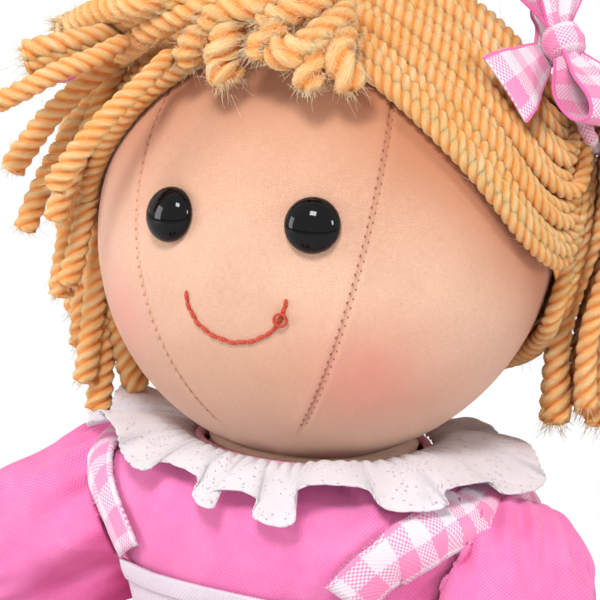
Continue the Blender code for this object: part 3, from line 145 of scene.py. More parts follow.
class Finish:
    """One material and the nodes that are added to it."""

    def __init__(self, name, roughness=0.9, sheen=0.0, specular=0.3):
        self.material = bpy.data.materials.new(name)
        self.material.use_nodes = True
        self.tree = self.material.node_tree
        self.shader = self.tree.nodes["Principled BSDF"]
        self.shader.inputs["Roughness"].default_value = roughness
        self.shader.inputs["Sheen Weight"].default_value = sheen
        self.shader.inputs["Sheen Roughness"].default_value = 0.45
        self.shader.inputs["Specular IOR Level"].default_value = specular

    def put(self, node, socket, value):
        if isinstance(value, bpy.types.NodeSocket):
            self.tree.links.new(value, node.inputs[socket])
        elif isinstance(value, tuple) and len(value) == 3 and node.inputs[socket].type == "RGBA":
            node.inputs[socket].default_value = (*value, 1)
        else:
            node.inputs[socket].default_value = value

    def add(self, kind, sockets, **settings):
        node = self.tree.nodes.new("ShaderNode" + kind)
        for name, value in settings.items():
            setattr(node, name, value)
        for socket, value in sockets.items():
            self.put(node, socket, value)
        return node.outputs

    def math(self, operation, first, second=0.0, third=0.0):
        return self.add("Math", {0: first, 1: second, 2: third}, operation=operation)[0]

    def times(self, first, second):
        return self.math("MULTIPLY", first, second)

    def plus(self, first, second):
        return self.math("ADD", first, second)

    def line(self, value, slope, start):
        """A value times a slope, and then a start added to it."""
        return self.math("MULTIPLY_ADD", value, slope, start)

    def uv(self):
        return self.add("UVMap", {})[0]

    def parts(self):
        return self.add("SeparateXYZ", {0: self.uv()})

    def place(self):
        return self.add("TexCoord", {})["Object"]

    def attribute(self, name):
        return self.add("Attribute", {}, attribute_name=name)["Fac"]

    def noise(self, where, scale, detail):
        return self.add("TexNoise", {"Vector": where, "Scale": scale, "Detail": detail, "Roughness": 0.55})[0]

    def stretch(self, where, sizes):
        return self.add("Mapping", {"Vector": where, "Scale": sizes})[0]

    def mix(self, share, first, second):
        node = self.tree.nodes.new("ShaderNodeMix")
        node.data_type = "RGBA"
        self.put(node, 0, share)
        self.put(node, 6, first)
        self.put(node, 7, second)
        return node.outputs[2]

    def span(self, value, low, high, start=0.0, end=1.0):
        sockets = {"Value": value, "From Min": low, "From Max": high, "To Min": start, "To Max": end}
        return self.add("MapRange", sockets)[0]

    def weave(self, pitch):
        """Height of a plain weave: threads pass over and under each other."""
        parts = self.parts()
        waves = [self.math("SINE", self.times(parts[k], 2 * math.pi / pitch)) for k in (0, 1)]
        return self.line(self.times(*waves), 0.5, 0.5)

    def colour(self, value):
        self.put(self.shader, "Base Color", value)

    def bump(self, height, distance):
        sockets = {"Height": height, "Distance": distance, "Strength": 1.0}
        self.put(self.shader, "Normal", self.add("Bump", sockets)["Normal"])


def cloth(name, light, dark, pitch, bump):
    """Woven cotton: threads, slubs, faint dye variation and a soft sheen. The weave's crests are painted
    lighter and its hollows darker, a painted shade.
    """
    made = Finish(name, roughness=0.85, sheen=0.25)
    weave = made.weave(pitch)
    cloud = made.noise(made.place(), scale=90, detail=4)
    slubs = made.noise(made.stretch(made.uv(), (2600, 300, 1)), scale=1, detail=2)
    tone = made.plus(made.times(weave, 0.65), made.times(slubs, 0.35))
    # Painted shade at the weave's scale: crests lighter and hollows darker, mixed with the dye cloud.
    shade = made.line(cloud, 0.5, made.times(tone, 0.5))
    made.colour(made.mix(made.span(shade, 0.25, 0.72), dark, light))
    made.bump(tone, bump)
    return made


def gingham():
    """Woven checks: white and pink threads cross, so a mixed square is half of each."""
    made = Finish("gingham_pink", roughness=0.85, sheen=0.25)
    parts = made.parts()
    bands = []
    for k in (0, 1):
        place = made.math("PINGPONG", made.times(parts[k], 1 / (2 * CHECK)), 0.5)
        bands.append(made.span(place, 0.24, 0.26))
    weave = made.weave(0.00095)
    over = made.span(weave, 0.42, 0.58)
    flip = made.add("Mix", {0: over, 2: bands[0], 3: bands[1]})[0]
    cloud = made.noise(made.place(), scale=260, detail=3)
    share = made.line(flip, 0.92, made.times(cloud, 0.08))
    made.colour(made.mix(share, (0.80, 0.72, 0.78), (0.86, 0.26, 0.48)))
    made.bump(weave, 0.00012)
    return made


def skin():
    """Fine cotton: a painted dark orange shade under the yarn and towards the chin by its tone, and pink by
    its blush. Its weave is painted lighter on the crests and darker in the hollows.
    """
    made = Finish("skin_cloth", roughness=0.8, sheen=0.3)
    weave = made.weave(0.00046)
    threads = made.noise(made.stretch(made.uv(), (3400, 500, 1)), scale=1, detail=3)
    across = made.noise(made.stretch(made.uv(), (500, 3400, 1)), scale=1, detail=3)
    tone = made.plus(made.times(weave, 0.4), made.times(made.plus(threads, across), 0.3))
    cloud = made.noise(made.place(), scale=38, detail=3)
    # Painted shade at the weave's scale: crests lighter and hollows darker, mixed with a cloud of colour
    # variation.
    shade = made.line(cloud, 0.30, made.times(tone, 0.7))
    cotton = made.mix(made.span(shade, 0.34, 0.66), (0.60, 0.34, 0.225), (0.91, 0.61, 0.45))
    # Painted shade: where the tone is low, near the yarn's edge and towards the chin, the cotton turns to a
    # dark orange shaded colour.
    painted_shade_share = made.line(made.attribute("tone"), -0.92, 0.92)
    shaded_cotton = made.mix(painted_shade_share, cotton, (0.50, 0.195, 0.09))
    blush = made.times(made.attribute("blush"), made.span(tone, 0.2, 0.7, 0.7, 1.0))
    made.colour(made.mix(blush, shaded_cotton, (0.80, 0.24, 0.20)))
    made.bump(tone, 0.00022)
    return made


def yarn(name, light, middle, deep):
    """Wool plies: fine fibres along each ply, with painted light: paler on the tops of the plies and a
    painted deep orange shade in the creases, where the tone attribute is low.
    """
    made = Finish(name, roughness=0.95, sheen=0.12, specular=0.08)
    made.shader.inputs["Sheen Tint"].default_value = (1.0, 0.70, 0.40, 1)
    made.shader.inputs["Subsurface Weight"].default_value = 0.5
    made.shader.inputs["Subsurface Radius"].default_value = (1.0, 0.50, 0.20)
    made.shader.inputs["Subsurface Scale"].default_value = 0.0016
    fibres = made.noise(made.stretch(made.uv(), (5200, 520, 1)), scale=1, detail=3)
    cloud = made.noise(made.place(), scale=130, detail=3)
    body = made.mix(made.span(made.plus(fibres, cloud), 0.84, 1.20), middle, light)
    # Painted crease shade: a low tone gives the deep colour, a high tone the lit body colour.
    painted_lit_share = made.times(made.attribute("tone"), made.span(fibres, 0.3, 0.6, 0.55, 1.0))
    made.colour(made.mix(painted_lit_share, deep, body))
    made.bump(fibres, 0.00035)
    return made


def thread(name, light, dark, pitch=0.0007):
    """Twisted sewing thread, painted lighter on the crests of its twist and darker in the grooves, a painted
    shade.
    """
    made = Finish(name, roughness=0.55, sheen=0.3, specular=0.4)
    parts = made.parts()
    wound = made.times(made.plus(parts[0], parts[1]), 2 * math.pi / pitch)
    twist = made.line(made.math("SINE", wound), 0.5, 0.5)
    cloud = made.noise(made.place(), scale=1500, detail=2)
    # Painted shade: the twist's grooves darker, its crests lighter, with a cloud of colour variation.
    made.colour(made.mix(made.line(cloud, 0.5, made.times(twist, 0.5)), dark, light))
    made.bump(twist, 0.00008)
    return made


def lace():
    """Fine white lace: a close net with small worked holes. The holes are painted a darker pink grey, a
    painted shade seen through them, and the net's hollows are painted darker too.
    """
    made = Finish("lace_white", roughness=0.9, sheen=0.35)
    weave = made.weave(0.0008)
    cells = made.stretch(made.uv(), (620, 620, 1))
    worked = made.span(made.add("TexVoronoi", {"Vector": cells, "Scale": 1.0})[0], 0.10, 0.24)
    cloud = made.noise(made.place(), scale=160, detail=3)
    # Painted shade: the net darker in the weave's hollows and the worked holes darker pink grey, mixed with a
    # cloud of colour variation.
    shade = made.times(made.line(weave, 0.25, 0.75), made.line(cloud, 0.4, 0.62))
    cotton = made.mix(made.span(shade, 0.45, 0.85), (0.66, 0.58, 0.64), (0.80, 0.76, 0.79))
    made.colour(made.mix(worked, (0.60, 0.44, 0.54), cotton))
    made.bump(made.plus(made.times(weave, 0.4), worked), 0.00025)
    return made


def knit(name, light, dark):
    """Jersey of a sock: columns of small V stitches, painted lighter on their crests and darker in the
    hollows between them, a painted shade.
    """
    made = Finish(name, roughness=0.9, sheen=0.3)
    parts = made.parts()
    column = made.math("PINGPONG", made.times(parts[0], 1 / 0.0014), 0.5)
    row = made.math("FRACT", made.line(parts[1], 1 / 0.0012, column))
    height = made.times(made.math("PINGPONG", row, 0.5), 2.0)
    # Painted shade: the stitch height sets the colour, dark in the hollows.
    made.colour(made.mix(made.span(height, 0.1, 0.9), dark, light))
    made.bump(height, 0.00030)
    return made


def plain(name, colours, roughness, scale, bump, specular=0.5, sheen=0.0):
    """A smooth moulded or felted surface with faint mottling."""
    made = Finish(name, roughness, sheen, specular)
    cloud = made.noise(made.place(), scale, 4)
    made.colour(made.mix(made.span(cloud, 0.3, 0.7), colours[0], colours[1]))
    made.bump(cloud, bump)
    return made


MATERIALS = {}


def make_materials():
    """Every material but the floor's. Of two colours, the light one is first for cloth and thread."""
    found = {
        "skin": skin(),
        "gingham": gingham(),
        "lace": lace(),
        # The last colour of the hair yarn is the painted deep orange shade of its creases.
        "yarn": yarn("hair_yarn", (1.0, 0.74, 0.43), (1.0, 0.57, 0.24), (0.92, 0.32, 0.06)),
        "fuzz": yarn("hair_fibre", (1.0, 0.80, 0.50), (1.0, 0.72, 0.38), (1.0, 0.60, 0.26)),
        "dress": cloth("dress_pink", (0.90, 0.27, 0.54), (0.76, 0.12, 0.37), 0.0008, 0.00012),
        "apron": cloth("apron_white", (0.74, 0.67, 0.73), (0.62, 0.53, 0.61), 0.0009, 0.00012),
        "stuffing": cloth("stuffing", (0.86, 0.84, 0.80), (0.70, 0.68, 0.64), 0.003, 0.0004),
        "binding": cloth("binding_pink", (0.95, 0.50, 0.62), (0.85, 0.30, 0.45), 0.0008, 0.0001),
        "hem": cloth("hem_pink", (0.93, 0.22, 0.50), (0.80, 0.10, 0.36), 0.0007, 0.00015),
        "sock": knit("sock_white", (0.86, 0.85, 0.88), (0.66, 0.63, 0.70)),
        "shoe": plain("shoe_pink", ((0.62, 0.14, 0.32), (0.80, 0.26, 0.48)), 0.9, 900, 0.00025, 0.2, 0.4),
        "sole": plain("sole_pink", ((0.50, 0.12, 0.26), (0.62, 0.18, 0.35)), 0.8, 500, 0.0002, 0.3),
        "eye": plain("eye_black", ((0.001, 0.001, 0.0015), (0.003, 0.003, 0.004)), 0.05, 60, 0.0, 0.20),
        "washer": plain("washer_white", ((0.70, 0.70, 0.68), (0.80, 0.80, 0.78)), 0.4, 300, 0.00005),
        "button": plain("button_white", ((0.78, 0.77, 0.80), (0.88, 0.86, 0.88)), 0.25, 300, 0.00003),
        "mouth": thread("mouth_thread", (0.66, 0.075, 0.02), (0.36, 0.02, 0.006)),
        "seam": thread("seam_thread", (0.45, 0.15, 0.09), (0.24, 0.06, 0.03), 0.0004),
        "faint": thread("seam_faint", (0.72, 0.40, 0.28), (0.55, 0.26, 0.17), 0.0004),
        "white_thread": thread("white_thread", (0.88, 0.84, 0.88), (0.70, 0.64, 0.70), 0.0005),
    }
    for name, made in found.items():
        MATERIALS[name] = made.material


# Mesh helpers


RIPPLE_WAVES = 7


def unit(vectors):
    vectors = np.asarray(vectors, float)
    return vectors / np.maximum(np.linalg.norm(vectors, axis=-1, keepdims=True), 1e-12)


def ease(t):
    t = np.clip(t, 0, 1)
    return t * t * (3 - 2 * t)


def bell(x, width):
    return np.exp(-((np.asarray(x, float) / width) ** 2))


def circle(count):
    """Angles evenly spaced once round."""
    return np.linspace(0, 2 * math.pi, count, endpoint=False)


def around(turn, first, second):
    """Directions at angles that go from a first direction towards a second."""
    return np.cos(turn)[..., None] * first + np.sin(turn)[..., None] * second


def facing(normal):
    """A level and a rising direction across a normal."""
    right = unit(np.cross((0, 0, 1), normal))
    return right, np.cross(normal, right)


def flattened(course, face):
    """A course laid flat in the plane that the face looks away from."""
    course = np.array(course)
    return unit(course - face * (course @ face))


def ring_points(turn, side, over, size):
    """Points round a middle, at one distance or at one for each angle."""
    return around(turn, side, over) * np.reshape(size, (-1, 1))


def ripple(points, size, seed):
    """Smooth pseudo-random values over points, mostly from -1 to 1, with crests about a size apart."""
    rng = np.random.default_rng(seed)
    total = np.zeros(points.shape[:-1])
    for _ in range(RIPPLE_WAVES):
        way = unit(rng.normal(size=3)) * 2 * math.pi / (size * rng.uniform(0.7, 1.5))
        total += np.sin(points @ way + rng.uniform(0, 2 * math.pi))
    return total / math.sqrt(RIPPLE_WAVES) / 1.4


class Shape:
    """Vertices, quads, UVs and one tone value a vertex, gathered before they become an object. Where the tone
    is low, the yarn and skin materials paint shade into the colour.
    """

    def __init__(self):
        self.points, self.faces, self.uvs, self.painted_light_tones = [], [], [], []
        self.count = 0

    def grid(self, points, wrap_rows=False, wrap_columns=False, uv=None, tone=1.0, flip=False):
        """A grid of shape (rows, columns, 3); uv gives (u, v) arrays one longer where the grid wraps."""
        rows, columns = points.shape[:2]
        row_spans = rows if wrap_rows else rows - 1
        column_spans = columns if wrap_columns else columns - 1
        i, j = np.meshgrid(np.arange(row_spans), np.arange(column_spans), indexing="ij")
        corners = [(i, j), (i, j + 1), (i + 1, j + 1), (i + 1, j)]
        if flip:
            corners = corners[::-1]
        index = [(a % rows) * columns + b % columns + self.count for a, b in corners]
        self.faces.append(np.stack(index, -1).reshape(-1, 4))
        if uv is None:
            uv = grid_uv(points, wrap_rows, wrap_columns)
        u, v = uv
        self.uvs.append(np.stack([np.stack([u[a, b], v[a, b]], -1) for a, b in corners], 2).reshape(-1, 2))
        self.points.append(points.reshape(-1, 3))
        self.painted_light_tones.append(np.broadcast_to(tone, points.shape[:2]).reshape(-1))
        self.count += rows * columns

    def cap(self, first, columns, flip=False):
        """Closes a ring of vertices with a strip of quads; a last triangle is left to weld()."""
        quads = []
        low, high = 0, columns - 1
        while high - low > 2:
            quad = [low, low + 1, high - 1, high]
            quads.append(quad[::-1] if flip else quad)
            low, high = low + 1, high - 1
        faces = np.array(quads).reshape(-1, 4) + first
        self.faces.append(faces)
        self.uvs.append(np.zeros((len(faces) * 4, 2)))

    def closed(self, points, flip=False, **how):
        """A grid whose columns wrap round, with both its ends closed."""
        first, columns = self.count, points.shape[1]
        self.grid(points, wrap_columns=True, flip=flip, **how)
        self.cap(first, columns, not flip)
        self.cap(self.count - columns, columns, flip)

    def thick(self, points, thickness, wrap_rows=False, wrap_columns=False, lift=0.5, tone=1.0, uv=None):
        """A closed sheet of cloth about a grid of points. Its lift is the share that lies outside."""
        normals = grid_normals(points, wrap_rows, wrap_columns)
        uv = uv or grid_uv(points, wrap_rows, wrap_columns)
        outer = points + normals * thickness * lift
        inner = outer - normals * thickness
        self.grid(outer, wrap_rows, wrap_columns, uv, tone)
        self.grid(inner, wrap_rows, wrap_columns, uv, tone, flip=True)
        for wraps, axis in ((wrap_rows, 0), (wrap_columns, 1)):
            if wraps:
                continue
            for end, flip in ((0, axis == 0), (-1, axis == 1)):
                strip = np.stack([np.take(side, end, axis) for side in (outer, inner)], 0)
                edge_uv = [np.take(c, end, axis) for c in uv]
                strip_uv = tuple(np.stack([c, c + 0.0002], 0) for c in edge_uv)
                along = wrap_columns if axis == 0 else wrap_rows
                self.grid(strip, False, along, strip_uv, tone, not flip)

    def build(self, name, finish, body=None, replaces=(), blush=None):
        """Makes the object. Blush is a function that gives each point its redness."""
        points = np.concatenate(self.points)
        faces = np.concatenate(self.faces)
        mesh = bpy.data.meshes.new(name)
        mesh.vertices.add(len(points))
        mesh.vertices.foreach_set("co", points.astype(np.float32).ravel())
        mesh.loops.add(faces.size)
        mesh.loops.foreach_set("vertex_index", faces.astype(np.int32).ravel())
        mesh.polygons.add(len(faces))
        mesh.polygons.foreach_set("loop_start", np.arange(0, faces.size, 4, dtype=np.int32))
        mesh.update(calc_edges=True)
        layer = mesh.uv_layers.new(name="UVMap")
        layer.data.foreach_set("uv", np.concatenate(self.uvs).astype(np.float32).ravel())
        # The tone attribute: low values become painted shade in the yarn and skin materials.
        painted_light_tones = mesh.attributes.new("tone", "FLOAT", "POINT")
        painted_light_tones.data.foreach_set("value", np.concatenate(self.painted_light_tones).astype(np.float32))
        if blush is not None:
            reds = mesh.attributes.new("blush", "FLOAT", "POINT")
            reds.data.foreach_set("value", blush(points).astype(np.float32))
        mesh.shade_smooth()
        mesh.materials.append(MATERIALS[finish])
        obj = bpy.data.objects.new(name, mesh)
        bpy.context.scene.collection.objects.link(obj)
        weld(mesh)
        return placed(obj, finish, body, replaces)


def weld(mesh):
    """Joins the vertices that meet at edges, closes three-sided holes and turns every face outwards."""
    bm = bmesh.new()
    bm.from_mesh(mesh)
    bmesh.ops.remove_doubles(bm, verts=bm.verts, dist=WELD)
    bmesh.ops.holes_fill(bm, edges=[edge for edge in bm.edges if edge.is_boundary], sides=3)
    bmesh.ops.recalc_face_normals(bm, faces=bm.faces)
    bm.to_mesh(mesh)
    bm.free()


def placed(obj, finish, body, replaces=()):
    """Says which body an object rides on and which solids it replaces."""
    if body:
        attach(obj, body)
    if replaces:
        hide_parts(*replaces)
    return obj


def grid_uv(points, wrap_rows=False, wrap_columns=False):
    """Arc lengths along and across a grid, in metres."""
    across = np.concatenate([points, points[:, :1]], 1) if wrap_columns else points
    along = np.concatenate([points, points[:1]], 0) if wrap_rows else points
    step_u = np.linalg.norm(np.diff(across, axis=1), axis=-1)
    step_v = np.linalg.norm(np.diff(along, axis=0), axis=-1)
    u = np.concatenate([np.zeros((points.shape[0], 1)), np.cumsum(step_u, 1)], 1)
    v = np.concatenate([np.zeros((1, points.shape[1])), np.cumsum(step_v, 0)], 0)
    u = np.broadcast_to(u.mean(0), u.shape)
    v = np.broadcast_to(v.mean(1)[:, None], v.shape)
    if wrap_rows:
        u = np.concatenate([u, u[:1]], 0)
    if wrap_columns:
        v = np.concatenate([v, v[:, :1]], 1)
    return u, v


def grid_normals(points, wrap_rows=False, wrap_columns=False):
    if wrap_rows:
        rows = np.roll(points, -1, 0) - np.roll(points, 1, 0)
    else:
        rows = np.gradient(points, axis=0)
    if wrap_columns:
        columns = np.roll(points, -1, 1) - np.roll(points, 1, 1)
    else:
        columns = np.gradient(points, axis=1)
    return unit(np.cross(columns, rows))


def cloth_piece(name, finish, body, node, points, thickness, **how):
    """A sheet of cloth as an object of its own; node is the solid it replaces, if any."""
    shape = Shape()
    shape.thick(points, thickness, **how)
    return shape.build(name, finish, body, (node,) if node else ())


def filled_piece(name, finish, body, node, points, flip=False):
    """A filled shape as an object of its own, in place of a solid."""
    shape = Shape()
    shape.closed(points, flip)
    return shape.build(name, finish, body, (node,))


def rolled_band(name, finish, body, node, ring, outward, over, size, sides):
    """A rolled band of cloth that closes on itself."""
    section = around(circle(sides)[None], outward[:, None], over)
    shape = Shape()
    shape.grid(ring[:, None] + size[:, None, None] * section, wrap_rows=True, wrap_columns=True)
    return shape.build(name, finish, body, (node,))


def curve(points, count):
    """Points spaced evenly along a smooth curve through the given points."""
    points = np.asarray(points, float)
    ends = np.concatenate([[2 * points[0] - points[1]], points, [2 * points[-1] - points[-2]]])
    t = np.linspace(0, len(points) - 1, count * 3)
    i = np.minimum(t.astype(int), len(points) - 2)
    s = (t - i)[:, None]
    a, b, c, d = (ends[i + k] for k in range(4))
    path = 0.5 * (2 * b + (c - a) * s + (2 * a - 5 * b + 4 * c - d) * s**2 + (3 * b - a - 3 * c + d) * s**3)
    return resample(path, count)


def resample(path, count):
    length = np.concatenate([[0], np.cumsum(np.linalg.norm(np.diff(path, axis=0), axis=1))])
    wanted = np.linspace(0, length[-1], count)
    return np.stack([np.interp(wanted, length, path[:, k]) for k in range(path.shape[1])], 1)


def path_length(path):
    return float(np.linalg.norm(np.diff(path, axis=0), axis=1).sum())


def path_frames(path, up=(0, 0, 1)):
    """Two crossing directions that don't twist along a path."""
    tangents = unit(np.gradient(path, axis=0))
    side = np.cross(tangents[0], np.asarray(up, float))
    if np.linalg.norm(side) < 1e-6:
        side = np.cross(tangents[0], (1.0, 0.3, 0))
    sides = [unit(side)]
    for tangent in tangents[1:]:
        last = sides[-1] - tangent * (sides[-1] @ tangent)
        sides.append(unit(last))
    return np.array(sides), np.cross(sides, tangents)


def tube(shape, path, radii, sides=8, up=(0, 0, 1), flat=1.0, ends=True):
    """A round or flattened tube along a path."""
    side, over = path_frames(path, up)
    radii = np.broadcast_to(radii, len(path))
    ring = around(circle(sides)[None], side[:, None], flat * over[:, None])
    points = path[:, None] + ring * radii[:, None, None]
    if ends:
        shape.closed(points, True)
    else:
        shape.grid(points, wrap_columns=True, flip=True)


# The head's surface


def head_point(azimuth, latitude, lift=0.0):
    """Points over the head's skin, raised by lift, in the doll's frame. Radians."""
    azimuth, latitude, lift = np.broadcast_arrays(azimuth, latitude, lift)
    size = HEAD_SIZE + np.stack([lift, lift, lift], -1)
    x = size[..., 0] * np.cos(latitude) * np.sin(azimuth)
    y = -size[..., 1] * np.cos(latitude) * np.cos(azimuth)
    z = size[..., 2] * np.sin(latitude)
    return HEAD_CENTRE + np.stack([x, y, z], -1) @ HEAD_ROTATION.T


def head_way(azimuth, latitude):
    """The unit direction that stands for a place on the head, in the head's frame. Degrees."""
    a, b = np.asarray(azimuth) * DEG, np.asarray(latitude) * DEG
    return np.stack([np.cos(b) * np.sin(a), -np.cos(b) * np.cos(a), np.sin(b)], -1)


def from_way(way, lift):
    """The place over the skin, in the doll's frame, for a direction in the head's frame."""
    size = HEAD_SIZE + np.asarray(lift)[..., None]
    return HEAD_CENTRE + (unit(way) * size) @ HEAD_ROTATION.T


def face_point(x, z, lift=0.0):
    """A place on the face, sideways and upwards from its middle, and the direction out of the skin."""
    x, z = np.asarray(x, float), np.asarray(z, float)
    wide, deep, tall = HEAD_SIZE
    y = -deep * np.sqrt(1 - (x / wide) ** 2 - (z / tall) ** 2)
    normal = unit(np.stack([x / wide**2, y / deep**2, z / tall**2], -1))
    local = np.stack([x, y, z], -1) + normal * np.asarray(lift)[..., None]
    return HEAD_CENTRE + local @ HEAD_ROTATION.T, normal @ HEAD_ROTATION.T


def over_head(x, y, lift):
    """Where a pixel's ray meets the head raised by lift, or else passes nearest to it."""
    ray = pixel_ray(x, y) @ HEAD_ROTATION
    start = (VIEW_PLACE - HEAD_CENTRE) @ HEAD_ROTATION
    size = HEAD_SIZE + lift
    p, d = start / size, ray / size
    half, square = p @ d, d @ d
    inside = half**2 - square * (p @ p - 1)
    reach = (-half - math.sqrt(max(inside, 0))) / square
    return HEAD_CENTRE + (start + ray * reach) @ HEAD_ROTATION.T


def at_depth(x, y, depth):
    """The place on a pixel's ray that is this far beyond the head's middle, seen from the camera."""
    ray = pixel_ray(x, y)
    return VIEW_PLACE + ray * (VIEW_DISTANCE + depth) / (ray @ VIEW_FORWARD)


# Head


def head_relief(azimuth, latitude):
    """Small moves of the head's cloth: a puckered groove along each seam, and fullness beside it."""
    relief = np.zeros(np.broadcast(azimuth, latitude).shape)
    for sign in (1, -1):
        away = (azimuth - sign * SEAM) * np.cos(latitude) * HEAD_SIZE[0]
        pucker = 1 + 0.25 * np.sin(latitude * HEAD_SIZE[2] / 0.0020 * 2 * math.pi)
        fade = ease((latitude + 76 * DEG) / (14 * DEG)) * (0.7 if sign < 0 else 1.0)
        relief -= 0.00050 * bell(away, 0.00045) * pucker * fade
        relief += 0.00022 * bell(np.abs(away) - 0.0016, 0.0011) * fade
    return relief


# Pixels of the cheeks, with the width of their blush and its depth
CHEEKS = (((366, 378), 0.0125, 0.55), ((122, 312), 0.0095, 0.50))


def cheek_blush(points):
    """Redness of the skin: strong at both cheeks, faint across the middle of the face."""
    total = np.zeros(len(points))
    for pixel, width, depth in CHEEKS:
        away = np.linalg.norm(points - over_head(*pixel, 0.0), axis=1)
        total += depth * bell(away, width)
    local = (points - HEAD_CENTRE) @ HEAD_ROTATION
    return total + 0.06 * bell(local[:, 2] + 0.010, 0.02) * (local[:, 1] < 0)


def seam_azimuths():
    """Azimuths round the head, close together beside the face seams."""
    near = np.linspace(-0.06, 0.06, 33)
    spans = [np.linspace(-math.pi, -SEAM - 0.06, 110, endpoint=False), -SEAM + near]
    spans += [np.linspace(-SEAM + 0.065, SEAM - 0.065, 60), SEAM + near]
    spans += [np.linspace(math.pi, SEAM + 0.06, 110, endpoint=False)[::-1][:-1]]
    return np.concatenate(spans)


# The yarn's lower edge: degrees from the face's middle and latitude
HAIRLINE = np.array((
    (0, 37), (16, 32), (26, 24), (36, 14), (52, 7), (72, -3), (94, -9), (125, -20), (155, -22), (180, -19),
))


def make_head():
    azimuths = seam_azimuths()
    latitudes = np.linspace(-89, 89, 180) * DEG
    a, b = np.meshgrid(azimuths, latitudes)
    loop = np.append(azimuths, azimuths[0] + 2 * math.pi)
    u = np.broadcast_to(loop * HEAD_SIZE[0] * 0.9, (len(latitudes), len(loop)))
    v = np.broadcast_to(latitudes[:, None] * HEAD_SIZE[2], u.shape)
    # Painted shade under the yarn: the tone is low near the yarn's lower edge, widest over the forehead, and
    # lower towards the chin. The skin material darkens it there.
    turned = np.abs((a + math.pi) % (2 * math.pi) - math.pi) / DEG
    below = np.interp(turned, HAIRLINE[:, 0], HAIRLINE[:, 1]) - b / DEG
    shade = np.where(below > 0, bell(below, 12 + 26 * bell(turned, 40)), 1)
    tone = (1 - shade) * (1 - 0.40 * ease((-b / DEG - 22) / 34))
    shape = Shape()
    shape.closed(head_point(a, b, head_relief(a, b)), uv=(u, v), tone=tone)
    panels = ("face_panel", "head_side_left", "head_side_right")
    head = shape.build("head_skin", "skin", "head", panels, cheek_blush)
    a, b = np.meshgrid(np.linspace(-180, 180, 60, endpoint=False) * DEG, np.linspace(-88, 88, 40) * DEG)
    lumps = 0.0003 * ripple(head_point(a, b, -0.0016), 0.012, 3)
    points = head_point(a, b, -0.0019 + lumps)
    stuffing = filled_piece("head_fill", "stuffing", "head", "head_stuffing", points)


def capsule(shape, middle, along, normal, length, radius, flat=0.8, sides=8, rings=7):
    """One short stitch: a swollen thread whose two ends dip in."""
    t = np.linspace(-1, 1, rings)
    dip = radius * 1.3 * np.abs(t) ** 3
    path = middle + along * (t * length / 2)[:, None] - normal * dip[:, None]
    radii = radius * np.sqrt(np.maximum(1 - np.abs(t) ** 2.6, 0.03))
    tube(shape, path, radii, sides, normal, flat)


def make_seam_stitches():
    """Two staggered rows of needle stitches beside each face seam."""
    pitch, lift, length = 0.00205, 0.00002, 0.00062
    start, seam_length = -1.18, 2.15 * HEAD_SIZE[2]
    count = int(seam_length / pitch)
    for side, sign in SIDES:
        shape = Shape()
        for row, (offset, size) in enumerate(((-0.00050, 0.00024), (0.00055, 0.00019))):
            for i in range(count):
                latitude = start + (i + 0.5 * row) * pitch / HEAD_SIZE[2] * 1.02
                azimuth = sign * SEAM + offset / (HEAD_SIZE[0] * math.cos(latitude))
                point = head_point(azimuth, latitude, lift)
                along = unit(head_point(azimuth, latitude + 0.01, lift) - point)
                out = unit(head_point(azimuth, latitude, 0.01) - point)
                capsule(shape, point, along, out, length, size, 0.9, sides=6, rings=5)
        shape.build("seam_stitches_" + side, "seam" if sign > 0 else "faint", "head")


def mouth_place(share, lift):
    """A place along the smile, and the direction out of the skin."""
    angle = (np.asarray(share) - 0.5) * math.pi
    x = MOUTH_SIDE * np.sin(angle)
    z = MOUTH_CORNER - (MOUTH_MIDDLE - MOUTH_CORNER) * -np.cos(angle)
    return face_point(x, z, lift)


def make_mouth():
    """Back stitches of red thread along the smile, with one small loop near its end."""
    rng = np.random.default_rng(4)
    shape = Shape()
    count, lift, thick = 16, 0.0003, 0.00050
    for i in range(count):
        first, _ = mouth_place(i / count, lift)
        last, normal = mouth_place(min((i + 1.28) / count, 1.0), lift)
        way = unit(last - first)
        length = np.linalg.norm(last - first) * 1.05
        side = np.cross(normal, way) * rng.uniform(-0.00016, 0.00016)
        capsule(shape, (first + last) / 2 + side, way, normal, length, thick, 0.85)
    centre, normal = mouth_place(0.86, 0.0004)
    turn = np.linspace(0.3, 2 * math.pi + 0.2, 20)
    loop = centre + 0.00135 * around(turn, *facing(normal))
    loop += normal * (0.0003 + 0.00035 * np.sin(turn / 2))[:, None]
    tube(shape, loop, 0.00036, 8, normal)
    shape.build("mouth_stitches", "mouth", "head", ("mouth_stitching",))


def make_eyes():
    """A domed button on its shank for each eye."""
    angles = np.concatenate([[-0.10, 0.0], np.linspace(0.12, 1.53, 26)])
    radii = (EYE_RADIUS * np.cos(angles))[:, None, None]
    heights = (EYE_BASE + EYE_DOME * np.sin(angles))[:, None, None]
    for side, sign in SIDES:
        seat, normal = face_point(sign * EYE_SIDE, -EYE_DROP, 0.0002)
        shape = Shape()
        shape.closed(seat + heights * normal + radii * around(circle(64), *facing(normal)))
        shank = seat - normal * np.linspace(-0.0003, SHANK_LENGTH, 4)[:, None]
        tube(shape, shank, SHANK_RADIUS, 16)
        shape.build("eye_button_" + side, "eye", "head", ("eye_" + side,))


# Yarn


# A ply's section, from one crease to the next: radius and tone, the share of painted light, lowest in the
# crease, which is painted with shade there.
LOBE = np.array((0.70, 0.90, 0.99, 0.99, 0.90))
LOBE_PAINTED_LIGHT = np.array((0.06, 0.62, 1.0, 1.0, 0.62))


